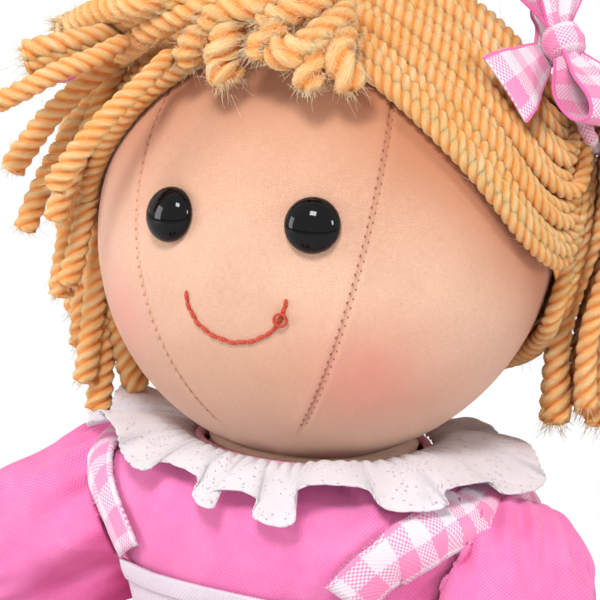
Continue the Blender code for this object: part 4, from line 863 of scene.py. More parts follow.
def strand(shape, path, width, lead, rng, taper, cut, step):
    """A three-ply strand whose lobed section turns once in each lead. Its creases are mesh edges.

    The taper is its width's share at each end, and a cut strand ends blunt.
    """
    length = path_length(path)
    count = max(8, int(length / (lead * step)))
    path = resample(path, count)
    side, over = path_frames(path, (0.2, 0.1, 1))
    share = np.linspace(0, 1, count)
    radius = width / 2 * (taper[0] + (taper[1] - taper[0]) * share)
    swell = 0.07 * np.sin(share * length / 0.011 + rng.uniform(0, 6))
    radius = radius * (1 + swell + 0.04 * rng.normal(size=count) * 0.4)
    for away, slope in ((share, 0.6), (1 - share, 0.22 if cut else 0.6)):
        radius = radius * np.clip(0.45 + away * length / (width * slope), 0.2, 1)
    turns = rng.uniform(0, 6) - 2 * math.pi * share * length / lead
    turns = turns + 0.35 * np.sin(share * length / 0.016 + rng.uniform(0, 6))
    sides = 3 * len(LOBE)
    phi = circle(sides)[None] + turns[:, None]
    section = around(phi, side[:, None], over[:, None])
    points = path[:, None] + (np.tile(LOBE, 3)[None] * radius[:, None])[..., None] * section
    # The tone paints shade into the creases and light onto the tops of the plies, and differs a little from
    # strand to strand.
    tone = np.tile(LOBE_PAINTED_LIGHT, 3)[None] * rng.uniform(0.86, 1.0)
    u = np.linspace(0, math.pi * width, sides + 1)[None] + np.zeros((count, 1))
    v = (share * length)[:, None] + np.zeros((1, sides + 1)) + rng.uniform(0, 1)
    shape.closed(points, True, uv=(u, v), tone=tone)
    return path, radius


def fibre(shape, start, straight, curl, thin, taper):
    """A fine hair that leaves its start along one direction and bends towards another."""
    t = np.linspace(0, 1, 5)[:, None]
    tube(shape, start + straight * t + curl * t**2, thin * (1 - taper * t[:, 0]), 3, ends=False)


def fuzz(shape, path, radius, rng, count, reach, thin=0.000045):
    """Fine stray fibres that leave a strand and curl."""
    for _ in range(count):
        i = rng.integers(1, len(path) - 1)
        out = unit(rng.normal(size=3))
        along = unit(path[i + 1] - path[i - 1]) * rng.choice((-1, 1))
        length = reach * rng.uniform(0.4, 1.3)
        bend = unit(rng.normal(size=3))
        start = path[i] + out * radius[i] * 0.9
        fibre(shape, start, length * (out * 0.6 + along * 0.75), length * bend * 0.4, thin, 0.5)


def tuft(shape, end, along, width, rng, count=16, length=0.0035, thin=0.00011):
    """Loose fibres of a cut yarn end."""
    for _ in range(count):
        out = rng.normal(size=3)
        out = unit(out - along * (out @ along))
        start = end - along * 0.0012 + out * width * 0.38 * math.sqrt(rng.uniform(0, 1))
        bend = unit(rng.normal(size=3))
        reach = length * rng.uniform(0.5, 1.2)
        fibre(shape, start, reach * along, reach * (out * 0.45 + bend * 0.25), thin, 0.6)


BAND_STRANDS = 15
HAIR_WIDTH = 0.0055
HAIR_LEAD = 0.0082
HAIR_LIFT = 0.0031
BUNCH_WIDTH = 0.0056
BUNCH_LEAD = 0.0098
WIDTH_SPREAD = 0.0004
# Courses from the parting to the tie: degrees from the face's middle, and latitude
FRONT_STRANDS = (
    ((2, 36), (24, 24), (50, 7), (74, -5), (96, -3), (100, 20)),
    ((2, 50), (27, 37), (51, 19), (73, 5), (91, 6), (96, 23)),
    ((2, 62), (33, 52), (56, 35), (74, 20), (86, 17), (94, 26)),
    ((3, 75), (46, 68), (66, 52), (78, 38), (87, 31), (95, 29)),
    ((90, 88), (90, 78), (92, 64), (94, 50), (95, 40), (96, 31)),
)
BACK_STRANDS = (
    ((178, -20), (160, -23), (140, -21), (120, -18), (104, -12), (96, 16)),
    ((178, 16), (160, 10), (141, 3), (123, -3), (108, 0), (97, 20)),
    ((178, 44), (156, 36), (137, 24), (120, 13), (107, 13), (98, 25)),
    ((177, 70), (143, 62), (122, 48), (110, 35), (103, 29), (98, 28)),
    ((92, 88), (96, 77), (98, 63), (98, 50), (98, 40), (97, 31)),
)


def strand_route(table, share, sign):
    """Ways over the head for a strand at a share of the way from the table's first course to its last."""
    courses = np.array(table, float)
    ways = head_way(courses[..., 0] * sign, courses[..., 1])
    place = share * (len(courses) - 1)
    i = min(int(place), len(courses) - 2)
    t = place - i
    knots = unit(ways[i] * (1 - t) + ways[i + 1] * t)
    return unit(curve(knots, 60))


def make_hair_cap():
    """The yarn's under layer, which keeps the cloth of the head from showing between strands, coloured with
    the painted deep orange shade of the creases by its low tone.
    """
    turned = np.linspace(0.6, 179.4, 90)
    low = (np.interp(turned, HAIRLINE[:, 0], HAIRLINE[:, 1]) + 4.5) * DEG
    share = np.linspace(0, 0.985, 50)[:, None]
    latitude = low + (math.pi / 2 - low) * share
    azimuth = np.broadcast_to(turned * DEG, latitude.shape)
    for side, sign in SIDES:
        lumps = 0.0007 * ripple(head_point(sign * azimuth, latitude, 0.0016), 0.006, 11)
        lift = np.maximum(0.0013 + lumps + 0.001 * np.sin(share * math.pi) ** 0.5, 0.0010)
        points = head_point(sign * azimuth, latitude, lift)
        # A tone of 0.35 paints the under layer with the deep orange crease shade.
        cloth_piece("hair_under_" + side, "yarn", "head", None, points, 0.0006, tone=0.35)


def make_hair():
    """Strands from the parting over the head to the ties, half of each side's in front."""
    for side, sign in SIDES:
        rng = np.random.default_rng(21 if sign > 0 else 22)
        shape, fibres = Shape(), Shape()
        for table in (FRONT_STRANDS, BACK_STRANDS):
            for i in range(BAND_STRANDS):
                share = (i + 0.25 + 0.2 * rng.uniform(-1, 1)) / BAND_STRANDS
                ways = strand_route(table, share, sign)
                t = np.linspace(0, 1, len(ways))
                across = unit(np.cross(ways, np.gradient(ways, axis=0)))
                wobble = 0.010 * np.sin(t * 9 + rng.uniform(0, 6)) * np.sin(t * math.pi)
                ways = unit(ways + across * wobble[:, None])
                layer = HAIR_LIFT + 0.0008 * (i % 2) + 0.0005 * rng.uniform(-1, 1)
                lift = layer + 0.0015 * ease((t - 0.72) / 0.28) * (0.4 + (i % 3))
                path = from_way(ways, lift)
                width = HAIR_WIDTH + WIDTH_SPREAD * rng.uniform(-1, 1)
                line, radius = strand(shape, path, width, HAIR_LEAD, rng, (1.0, 0.66), cut=False, step=0.08)
                fuzz(fibres, line, radius, rng, count=60, reach=0.0032)
        shape.build("hair_band_" + side, "yarn", "head", ("hair_" + side,))
        fibres.build("hair_fuzz_" + side, "fuzz", "head")


# Outwards from the tie to the bunch's first knots; then outwards, backwards and up to the next ones
BUNCH_ROOT = (0.0005, 0.0065)
BUNCH_COURSE = np.array(((0.0150, 0.0060, -0.003), (0.0175, 0.0090, -0.022), (0.0120, 0.0100, -0.048)))
# Height at which the bunch's middle ends
BUNCH_END = 0.106
# Shares of the bunch's length, and how far from its middle the outer strands lie there
BUNCH_SWELL = ((0, 0.1, 0.25, 0.5, 0.75, 1), (0.0040, 0.0062, 0.0088, 0.0112, 0.0118, 0.0112))


def tie_place(sign):
    """The middle of a bunch's tie, and the direction there away from the head."""
    way = head_way(sign * TIE[0], TIE[1])
    place = from_way(way, np.array(TIE_LIFT))
    return place, unit(from_way(way, np.array(0.05)) - place)


def make_bunch(side, sign):
    """Strands that leave the tie and hang beside the head, each cut at its own length."""
    place, out = tie_place(sign)
    middle = [place + out * reach for reach in BUNCH_ROOT]
    middle += [place + point * (sign, 1, 1) for point in BUNCH_COURSE]
    middle.append(np.array((*middle[-1][:2], BUNCH_END)))
    count = 60
    spine = curve(middle, count)
    across, over = path_frames(spine, (0, 1, 0))
    t = np.linspace(0, 1, count)
    swell = np.interp(t, *BUNCH_SWELL)
    rng = np.random.default_rng(31 if sign > 0 else 32)
    shape, fibres = Shape(), Shape()
    spots = [(0.10, 0.3), (0.45, 0.2), (0.45, 2.3), (0.45, 4.4)]
    spots += [(1.0, 2 * math.pi * k / 11) for k in range(11)]
    inward = np.array((-0.86 * sign, -0.50, 0))
    towards = math.atan2(over[30] @ inward, across[30] @ inward)
    spots += [(1.5, towards + turn) for turn in (-0.75, -0.3, 0.15, 0.6)]
    for i, (ring, angle) in enumerate(spots):
        angles = angle + 0.5 * t * rng.uniform(0.3, 1) + 0.08 * np.sin(6 * t + i)
        offset = ring * swell * (1 + 0.05 * np.sin(7 * t + 2 * i))
        path = spine + offset[:, None] * around(angles, across, over)
        end = int(count * rng.uniform(0.90, 1.0))
        width = BUNCH_WIDTH + WIDTH_SPREAD * rng.uniform(-1, 1)
        line, radius = strand(shape, path[:end], width, BUNCH_LEAD, rng, (0.62, 1.08), cut=True, step=0.085)
        fuzz(fibres, line, radius, rng, count=40, reach=0.0045)
        tuft(fibres, line[-1], unit(line[-1] - line[-3]), width, rng)
    shape.build("bunch_" + side, "yarn", "bunch_" + side, ("pigtail_" + side,))
    fibres.build("bunch_fuzz_" + side, "fuzz", "bunch_" + side)


# Each lock: points as pixels with their lift over the head, then its width and its lead, all in mm
FRINGE_LOCKS = (
    (((352, 8, 12), (330, 26, 14), (300, 50, 14), (272, 52, 12)), 7.0, 12),
    (((350, 30, 11), (338, 52, 13), (345, 72, 11), (352, 84, 8)), 7.0, 13),
    (((330, 20, 11), (318, 48, 13), (310, 70, 11), (312, 88, 8)), 7.0, 13),
    (((290, 6, 15), (278, 26, 15), (262, 44, 13), (256, 52, 11)), 6.5, 12),
    (((270, -6, 12), (240, 12, 14), (226, 40, 12), (222, 60, 9), (230, 84, 6)), 7.5, 11),
    (((262, 0, 14), (226, 14, 15), (196, 40, 12), (186, 62, 8)), 6.5, 10),
    (((240, -8, 16), (206, 4, 17), (170, 20, 15), (136, 42, 12), (112, 60, 10)), 6.5, 11),
    (((222, -12, 18), (176, -2, 19), (134, 14, 17), (92, 34, 15), (78, 44, 14)), 7.0, 11),
    (((300, -10, 15), (262, 4, 17), (226, 12, 16), (206, 26, 14)), 6.5, 12),
    (((340, -8, 13), (312, 6, 16), (286, 14, 16), (262, 22, 14)), 7.0, 12),
    (((182, -10, 20), (140, 4, 21), (104, 12, 20), (74, 26, 19), (58, 30, 19)), 6.5, 12),
)
# Long locks of the doll's right: the same, but pixels with their depth beyond the head's middle
SIDE_LOCKS = (
    (((172, 52, -26), (146, 80, -30), (112, 112, -32), (78, 152, -32), (52, 190, -30)), 5.3, 8.5),
    (((128, 40, -20), (94, 58, -24), (58, 72, -26), (20, 92, -26), (-6, 104, -24)), 5.0, 8.5),
    (((120, 30, -14), (88, 38, -18), (52, 46, -20), (22, 54, -20)), 5.6, 10),
    (((116, 46, -16), (84, 50, -18), (52, 60, -20), (26, 68, -20)), 5.0, 9),
    (((118, 60, -8), (82, 86, -8), (50, 116, -6), (24, 150, -4), (10, 172, -4)), 5.6, 9),
    (((124, 66, -2), (92, 104, 0), (62, 150, 2), (36, 200, 4), (24, 232, 4)), 5.8, 9),
    (((128, 70, 4), (104, 120, 8), (84, 180, 10), (68, 244, 12), (60, 298, 12)), 5.8, 9),
    (((122, 60, -4), (98, 108, -2), (78, 158, -2), (62, 196, -2), (54, 222, -2)), 5.6, 9),
    (((132, 76, 8), (116, 150, 14), (102, 230, 18), (92, 320, 20), (84, 384, 20)), 6.0, 9),
    (((136, 80, 10), (124, 160, 18), (112, 250, 22), (104, 340, 24), (98, 412, 24)), 6.0, 9),
    (((134, 100, 6), (124, 170, 12), (118, 250, 18), (118, 320, 22), (128, 366, 24), (140, 392, 24)), 5.6, 9),
    (((126, 80, 2), (104, 150, 6), (86, 210, 8), (74, 262, 8), (66, 286, 8)), 5.6, 9),
)


def make_fringe():
    """Short cut yarn ends over the forehead and longer loose ones beside the face."""
    rng = np.random.default_rng(41)
    for name, table, place, count, taper, step, stray, cut, nodes in (
        ("fringe", FRINGE_LOCKS, over_head, 50, (0.8, 1.12), 0.06,
         (420, 0.0026, 0.00007), (150, 0.0022, 0.00013), ("fringe",)),
        ("loose", SIDE_LOCKS, at_depth, 60, (0.85, 1.05), 0.08,
         (40, 0.0036, 0.000045), (20, 0.0022, 0.00011), ()),
    ):
        shape, fibres = Shape(), Shape()
        for points, width, lead in table:
            path = curve([place(x, y, out / 1000) for x, y, out in points], count)
            line, radius = strand(shape, path, width / 1000, lead / 1000, rng, taper, True, step)
            fuzz(fibres, line, radius, rng, *stray)
            tuft(fibres, line[-1], unit(line[-1] - line[-4]), width / 1000, rng, *cut)
        shape.build(name + "_locks", "yarn", "head", nodes)
        fibres.build(name + "_fuzz", "fuzz", "head")


# Bows


RIBBON = 0.0006
KNOT_RADIUS = 0.0046
KNOT_HALF = 0.0036
LOOP_LENGTH = 0.024552
LOOP_WIDTH = 0.0170
BOW_LIFT = 0.0143
TIE_TUBE = 0.0017


def ribbon(shape, path, widths, normals, thickness, crown):
    """A band of cloth along a path, its flat side along the normals and its middle raised by the crown."""
    tangents = unit(np.gradient(path, axis=0))
    across = unit(np.cross(tangents, normals))
    spread = np.linspace(-0.5, 0.5, 13)
    points = path[:, None] + across[:, None] * (spread[None] * widths[:, None])[..., None]
    points = points + normals[:, None] * (crown * (0.25 - spread**2)[None, :, None])
    shape.thick(points, thickness)
    return points


def bow_loop(shape, knot, along, face, length, width, depth, lift, seed):
    """One loop: the ribbon runs out, turns round and comes back, gathered small at the knot."""
    side = np.cross(along, face)
    turn = np.linspace(0, 2 * math.pi, 44)
    out = 0.5 - 0.5 * np.cos(turn)
    reach = length * out**0.62
    share = reach / length
    height = depth * 0.62 * np.sin(turn) * out**0.35
    rise = lift * np.maximum(0, reach - 0.15 * length)
    widths = width * (0.22 + 0.78 * ease(share * 1.5)) * 1.05
    spread = np.linspace(-0.5, 0.5, 21)
    points = knot + along * reach[:, None] + face * (height + rise)[:, None]
    points = points[:, None] + side * (spread[None] * widths[:, None])[..., None]
    pleat = np.sin(spread * 4 * math.pi + seed)[None] * 0.0011 * (1 - ease(share * 1.35))[:, None]
    bend = ripple(points, 0.018, seed) * 0.0007 * ease(share * 2)[:, None]
    points = points + face * ((pleat + bend) * np.sign(height + 1e-9)[:, None])[..., None]
    shape.thick(points, RIBBON)
    return points


def bow_hems(shape, points):
    """A narrow turned hem along both edges of a loop or tail."""
    for edge, inside in ((0, 1), (-1, -2)):
        path = points[:, edge] * 0.72 + points[:, inside] * 0.28
        tube(shape, resample(path, 90), 0.00042, 6)


def bow_knot(knot, along, face):
    """The band round the bow's waist, with puckers along it."""
    t = np.linspace(-1, 1, 17)
    turn = circle(48)
    size = KNOT_RADIUS * (0.45 + 0.55 * np.sqrt(np.maximum(0, 1 - np.abs(t) ** 3)))
    pucker = 1 + 0.05 * np.sin(3 * turn + 1)[None] * np.cos(2.5 * t)[:, None]
    pucker = pucker + 0.035 * np.sin(7 * t[:, None] + 2 * turn[None])
    section = around(turn, np.cross(along, face), face)[None] * (size[:, None] * pucker)[..., None]
    return knot + along * (t * KNOT_HALF)[:, None, None] + section


def make_bow(names, finish, hem_finish, body, knot, axes, loops, tails):
    """Two loops, the knot's band, two tails and the hems, as four objects."""
    along, face = axes
    directions, tail_face, (tail_length, tail_width, droop) = tails
    loop_shape, tail_shape, hems = Shape(), Shape(), Shape()
    for way, seed in ((1, 5), (-1, 8)):
        bow_hems(hems, bow_loop(loop_shape, knot, along * way, face, *loops, seed))
    loops_made = loop_shape.build(names[0] + "_loops", finish, body, (names[0],))
    filled_piece(names[1] + "_band", finish, body, names[1], bow_knot(knot, along, face), True)
    t = np.linspace(0, 1, 30)
    widths = tail_width * (0.35 + 0.65 * t) * np.where(t > 0.97, 0.97, 1)
    for way, direction in zip((-1, 1), directions):
        path = knot - tail_face * 0.0055 + direction * (tail_length * t)[:, None]
        path = path + tail_face * (0.0007 * np.sin(9 * t + way) * t - droop * t**2)[:, None]
        normals = np.broadcast_to(tail_face, path.shape)
        bow_hems(hems, ribbon(tail_shape, path, widths, normals, RIBBON, crown=0.0012))
    tails_made = tail_shape.build(names[2] + "_ribbon", finish, body, (names[2],))
    hems.build(names[0] + "_hems", hem_finish, body)
    return loops_made, tails_made


def knot_place(sign):
    """The middle of a hair bow's knot, and the direction there away from the head."""
    azimuth, latitude = sign * BOW_PLACE[0] * DEG, BOW_PLACE[1] * DEG
    near = head_point(azimuth, latitude, BOW_LIFT)
    return near, unit(head_point(azimuth, latitude, BOW_LIFT + 0.04) - near)


def make_hair_bow(side, sign):
    """A gingham bow over a bunch's tie, and the tie."""
    knot, normal = knot_place(sign)
    face = unit(np.array((sign * 0.70, -0.21, 0.67)))
    along = flattened((sign * -0.62, 0.35, 0.70), face)
    tail_face = flattened(normal, along)
    courses = ((sign * -0.25, 0.95, 0.20), (sign * 0.21, -0.96, -0.16))
    directions = [flattened(course, tail_face) for course in courses]
    tails = (directions, tail_face, (0.0230, 0.0170, 0.0035))
    names = ("bow_" + side, "bow_knot_" + side, "bow_tails_" + side)
    loops = (LOOP_LENGTH, LOOP_WIDTH, 0.0080, 0.30)
    made = make_bow(names, "gingham", "hem", "head", knot, (along, face), loops, tails)
    place, out = tie_place(sign)
    right = unit(np.cross(out, (0, 0.2, 1)))
    turn = circle(70)
    radial = around(turn, right, np.cross(out, right))
    fat = TIE_TUBE * (1 + 0.10 * np.sin(turn * 16))
    name, node = "tie_band_" + side, "hair_tie_" + side
    rolled_band(name, "gingham", "head", node, place + TIE_RADIUS * radial, radial, out, fat, 12)


# Neck and dress body


# Height, half width, half depth, and how far back the section lies
HIPS = np.array((
    (0.0, 0.0240, 0.0150, 0.0080), (0.0030, 0.0300, 0.0210, 0.0060),
    (0.0120, 0.0370, 0.0280, 0.0020), (0.0260, 0.0390, 0.0300, 0.0010), (0.0400, 0.0360, 0.0280, 0.0),
))


def oval(wide, deep, height, angle, squareness=SQUARENESS):
    """Points of a level ring between an ellipse and a rectangle. Angle 0 is in front."""
    s, c = np.sin(angle), np.cos(angle)
    x = wide * np.sign(s) * np.abs(s) ** (2 / squareness)
    y = -deep * np.sign(c) * np.abs(c) ** (2 / squareness)
    return np.stack(np.broadcast_arrays(x, y, height), -1)


def dress_section(share):
    """Height, half width and half depth at a share of the way from the waist to the neckline."""
    place = np.clip(share, 0, 1) * (len(DRESS_SECTIONS) - 1)
    stations = np.arange(len(DRESS_SECTIONS))
    return [np.interp(place, stations, DRESS_SECTIONS[:, k]) for k in range(3)]


def dress_share(height):
    return float(np.interp(height, DRESS_SECTIONS[:, 0], np.linspace(0, 1, len(DRESS_SECTIONS))))


def dress_point(share, angle, lift=0.0):
    """Points of the dress above its waist, raised by lift."""
    share, angle, lift = np.broadcast_arrays(share, angle, lift)
    z, wide, deep = dress_section(share)
    z0, wide0, _ = dress_section(share - 0.04)
    z1, wide1, _ = dress_section(share + 0.04)
    out = unit(np.stack([z1 - z0, wide0 - wide1], -1))
    return oval(wide + lift * out[..., 0], deep + lift * out[..., 0], z + lift * out[..., 1], angle)


def make_neck():
    """The neck is cloth over stuffing, with one sewn line round it under the chin."""
    angles = circle(96)
    top = max(vertex.co.z for vertex in NODES["neck"].data.vertices)
    rows = []
    for a in np.linspace(-80, 0, 14) * DEG:
        rows.append((NECK_RADIUS * math.cos(a), NECK_BASE + NECK_RADIUS * math.sin(a)))
    for s in (0.35, 0.7, 1.0):
        rows.append((NECK_RADIUS - 0.0004 * math.sin(s * math.pi), NECK_BASE + 0.0026 * s))
    rows.append((0.0215, 0.1016))
    for radius, height in ((0.0170, 0.1015), (0.0080, 0.1010), (0.0010, 0.1005)):
        rows.append((radius, min(top, height)))
    points = np.array([[(r * math.cos(a), r * math.sin(a), z) for a in angles] for r, z in rows])
    neck = filled_piece("neck_cloth", "skin", "neck", "neck", points)


def torso_parts():
    """The stuffed body under the clothes."""
    angles = circle(90)
    rows = []
    for height in np.linspace(0.0, 0.040, 20):
        wide, deep, back = (np.interp(height, HIPS[:, 0], HIPS[:, k]) for k in (1, 2, 3))
        row = oval(wide - 0.0004, deep - 0.0004, max(height, 0.0001), angles)
        front = np.clip(-row[:, 1] - 0.006, 0, None) * ease((0.034 - height) / 0.006)
        row[:, 1] += back + front
        rows.append(row)
    for share in np.linspace(0.02, 0.93, 24):
        rows.append(dress_point(share, angles, -0.0020))
    torso = filled_piece("body_cloth", "skin", "body", "torso", np.array(rows))


def dress_folds(share, angle):
    """Pulls in the dress front: two slanting ridges beside the straps and soft creases at the armholes."""
    folds = np.zeros(np.broadcast(share, angle).shape)
    rise = ease((share - 0.25) * 4)
    for sign in (1, -1):
        line = angle - sign * (36 + 34 * (share - 0.5)) * DEG
        folds += 0.0010 * bell(line + sign * 9 * DEG, 4 * DEG) * rise
        folds -= 0.0007 * bell(line + sign * 14 * DEG, 4 * DEG) * rise
        arm = angle - sign * 90 * DEG
        folds += 0.0006 * np.sin(share * 34 + 5 * arm) * bell(arm, 32 * DEG) * ease(share * 3)
    return folds


def make_bodice():
    """The dress's upper part, pushed in where the arms meet it."""
    a, s = np.meshgrid(circle(200), np.linspace(0, 1, 64))
    gather = 0.00035 * np.sin(a * 46) * (ease((s - 0.9) * 10) + ease((0.08 - s) * 12))
    lift = dress_folds(s, a) + 0.0003 * ripple(dress_point(s, a), 0.022, 51) + gather - 0.0002
    points = dress_point(s, a, lift)
    room = 0.0150
    for sign in (1, -1):
        distance = np.linalg.norm(points - SHOULDER * (sign, 1, 1), axis=-1)
        push = np.clip(room - distance, 0, None)
        points = points - np.array((sign, 0, 0)) * (push * 1.1)[..., None]
    dress = cloth_piece("dress_body", "dress", "body", "bodice", points, 0.0009, wrap_columns=True, lift=0.0)


# Collar edge: angle in degrees, reach from the middle, height and rise of the cloth before it falls, in mm
COLLAR_EDGE = (
    (-180, 41, 99.5, 1.0), (-140, 45, 100.5, 1.0), (-100, 51, 102, 1.5), (-65, 49, 102.5, 2.0),
    (-47, 46, 100, 2.0), (-30, 38, 97, 1.5), (-8, 37, 94, 1.0), (10, 38, 93, 0.5),
    (20, 39, 94, 0.8), (32, 41, 97, 2.2), (50, 45, 99, 2.8), (70, 50, 99.5, 3.4),
    (90, 53, 100, 4.0), (105, 52, 101.5, 4.0), (125, 48, 101.5, 2.5), (150, 43, 100, 1.5),
)
COLLAR_START = 0.0269
BINDING_RADIUS = 0.0256


def collar_table(angles):
    """Reach, height and rise of the collar's edge at evenly spaced angles, with rounded corners."""
    table = np.array(COLLAR_EDGE)
    rows = []
    for k in (1, 2, 3):
        row = np.interp(angles / DEG, table[:, 0], table[:, k], period=360)
        width = len(angles) // 30
        window = np.hanning(width)
        around = np.concatenate([row[-width:], row, row[:width]])
        rows.append(np.convolve(around, window / window.sum(), "same")[width:-width] / 1000)
    return rows


def dress_tree():
    """The dress's bare surface, to search for its nearest point."""
    count = 160
    shares = np.linspace(0.05, 1, 60)
    points = dress_point(shares[:, None], circle(count)[None], 0.0)
    index = np.arange(len(shares) * count).reshape(-1, count)
    after = np.roll(index, -1, 1)
    quads = np.stack([index[:-1], after[:-1], after[1:], index[1:]], -1).reshape(-1, 4)
    return BVHTree.FromPolygons(points.reshape(-1, 3).tolist(), quads.tolist())


def clear_of_dress(points, tree, gap):
    """Moves points that are in the dress, or nearer to it than gap, straight out of it."""
    moved = points.reshape(-1, 3).copy()
    gaps = np.broadcast_to(gap, points.shape[:-1]).reshape(-1)
    for i, point in enumerate(moved):
        near, normal, _, away = tree.find_nearest(Vector(point))
        side = (Vector(point) - near).dot(normal)
        if side < gaps[i] and away < 0.03:
            moved[i] = point + np.array(normal) * (gaps[i] - side)
    return moved.reshape(points.shape)


def clear_of_head(points, gap):
    """Moves points that are in the head, or nearer to it than gap, away from its middle."""
    local = (points - HEAD_CENTRE) @ HEAD_ROTATION
    reach = np.linalg.norm(local / (HEAD_SIZE + gap), axis=-1)
    out = local * np.maximum(1, 1 / np.maximum(reach, 0.5))[..., None]
    return HEAD_CENTRE + out @ HEAD_ROTATION.T


def make_collar(tree):
    """A frill of lace whose folds turn back on themselves in S shapes towards its scalloped edge."""
    count = 840
    angles = np.linspace(-math.pi, math.pi, count, endpoint=False)
    shares = np.linspace(0, 1, 44)
    a, s = np.meshgrid(angles, shares)
    reach, edge, rise = collar_table(angles)
    start = NECKLINE + 0.0022
    scallop = 0.00035 * np.abs(np.sin(70 * a)) * ease((s - 0.86) * 7)
    phase = 11 * a + 0.9 * np.sin(2 * a + 0.6) + 0.45 * np.sin(5 * a)
    grow = s**1.25
    turn = a - (0.0025 * grow * np.sin(2 * phase) + 0.0010 * grow * np.sin(phase + 0.7)) / 0.042
    height = start + (edge - start) * s**1.4 + rise * np.sin(math.pi * s**0.62)
    height = height + 0.0027 * grow * np.sin(phase) * (1 + 0.3 * np.sin(3 * a))
    radius = COLLAR_START + (reach - COLLAR_START) * s**0.95 + scallop
    radius = radius + 0.0020 * grow * np.cos(phase + 0.6)
    radius = radius * (1 - 0.17 * grow * np.cos(turn) ** 2 * (np.cos(turn) < 0))
    points = np.stack([radius * np.sin(turn), -radius * np.cos(turn), height], -1)
    points[..., 2] += 0.0005 * np.sin(64 * a) * bell(s, 0.30) + 0.0003 * ripple(points, 0.006, 61) * s
    points = clear_of_head(points, HEAD_GAP)
    points = clear_of_dress(points, tree, 0.0013 + 0.0010 * s)
    u = np.broadcast_to(np.linspace(0, 0.52, count + 1), (len(shares), count + 1))
    v = np.broadcast_to((shares * 0.026)[:, None], u.shape)
    how = {"wrap_columns": True, "uv": (u, v)}
    collar = cloth_piece("collar_frill", "lace", "body", "lace_collar", points, 0.0004, **how)
    turn = circle(160)
    out = around(turn, np.array((0, -1.0, 0)), np.array((1.0, 0, 0)))
    up = np.array((0, 0, 1.0))
    ring = BINDING_RADIUS * out + up * (NECKLINE + 0.0014)
    size = 0.0010 * (1 + 0.06 * np.sin(turn * 60))
    rolled_band("collar_binding", "binding", "body", "neck_binding", ring, out, up, size, 10)


# Skirt and apron


HEM_FRONT = 0.0400
HEM_BACK = 0.0045
# Half widths at the waist and the hem, then half depths
SKIRT_SIZES = ((0.0360, 0.0820), (0.0280, 0.0800))
BIB_HEIGHTS = (0.0583, 0.0687)
BIB_HEM_HEIGHTS = (0.0690, 0.0730)
BAND_HEIGHTS = (0.0512, 0.0580)
STRAP_WIDTH = 0.0105
STRAP_REACH = 0.0455


def skirt_hem(angle):
    """Height of the skirt's edge: raised in front, where it lies over the legs."""
    away = np.abs(np.remainder(angle + math.pi, 2 * math.pi) - math.pi)
    return HEM_FRONT + (HEM_BACK - HEM_FRONT) * ease((away - 32 * DEG) / (34 * DEG))


def skirt_point(share, angle, lift=0.0):
    """Points of the skirt at a share of the way from its waist to its hem."""
    share, angle, lift = np.broadcast_arrays(share, angle, lift)
    spread = np.sin(share * math.pi / 2)
    fold = np.cos(12 * angle) * 0.0028 * ease(share)
    hem = skirt_hem(angle)
    top = WAIST - 0.0003
    flat = (hem - HEM_BACK) / (HEM_FRONT - HEM_BACK)
    lean = 0.75 + 0.25 * flat - 0.45 * share * (1 - flat)
    out = fold + lift * np.sqrt(1 - lean**2)
    wide, deep = (start + (end - start) * spread + out for start, end in SKIRT_SIZES)
    height = top + (hem - top) * share**1.15 + 0.6 * fold * flat + lift * lean
    return oval(wide, deep, height, angle, SQUARENESS - 0.4 * share)


def make_skirt():
    a, s = np.meshgrid(circle(420), np.linspace(0, 1, 64))
    gather = 0.00055 * np.sin(a * 64 + 2 * np.sin(3 * a)) * bell(s, 0.32)
    lift = gather + 0.0005 * ripple(skirt_point(s, a), 0.03, 71) * ease(s * 3) - 0.0004
    points = skirt_point(s, a, lift - 0.0003 * (np.abs(s - 0.955) < 0.02))
    skirt = cloth_piece("skirt_cloth", "dress", "body", "skirt", points, 0.0009, wrap_columns=True, lift=0.0)
    stitch_line([skirt_point(0.93, angle, 0.0001) for angle in np.linspace(0, 2 * math.pi, 180)])


def stitch_line(points):
    """A row of running stitches above the skirt's hem."""
    path = np.array(points)
    pitch, length, thick = 0.0034, 0.0016, 0.00022
    count = int(path_length(path) / pitch)
    spots = resample(path, count * 2)
    shape = Shape()
    for i in range(1, count - 1):
        first, last = spots[2 * i], spots[2 * i + 1]
        along = unit(last - first)
        normal = unit(np.cross(along, np.cross((0, 0, 1), along)) + np.array((0, 0, 1e-3)))
        capsule(shape, (first + last) / 2, along, normal, length, thick, 0.9, sides=6, rings=5)
    shape.build("skirt_hem_stitches", "hem", "body")


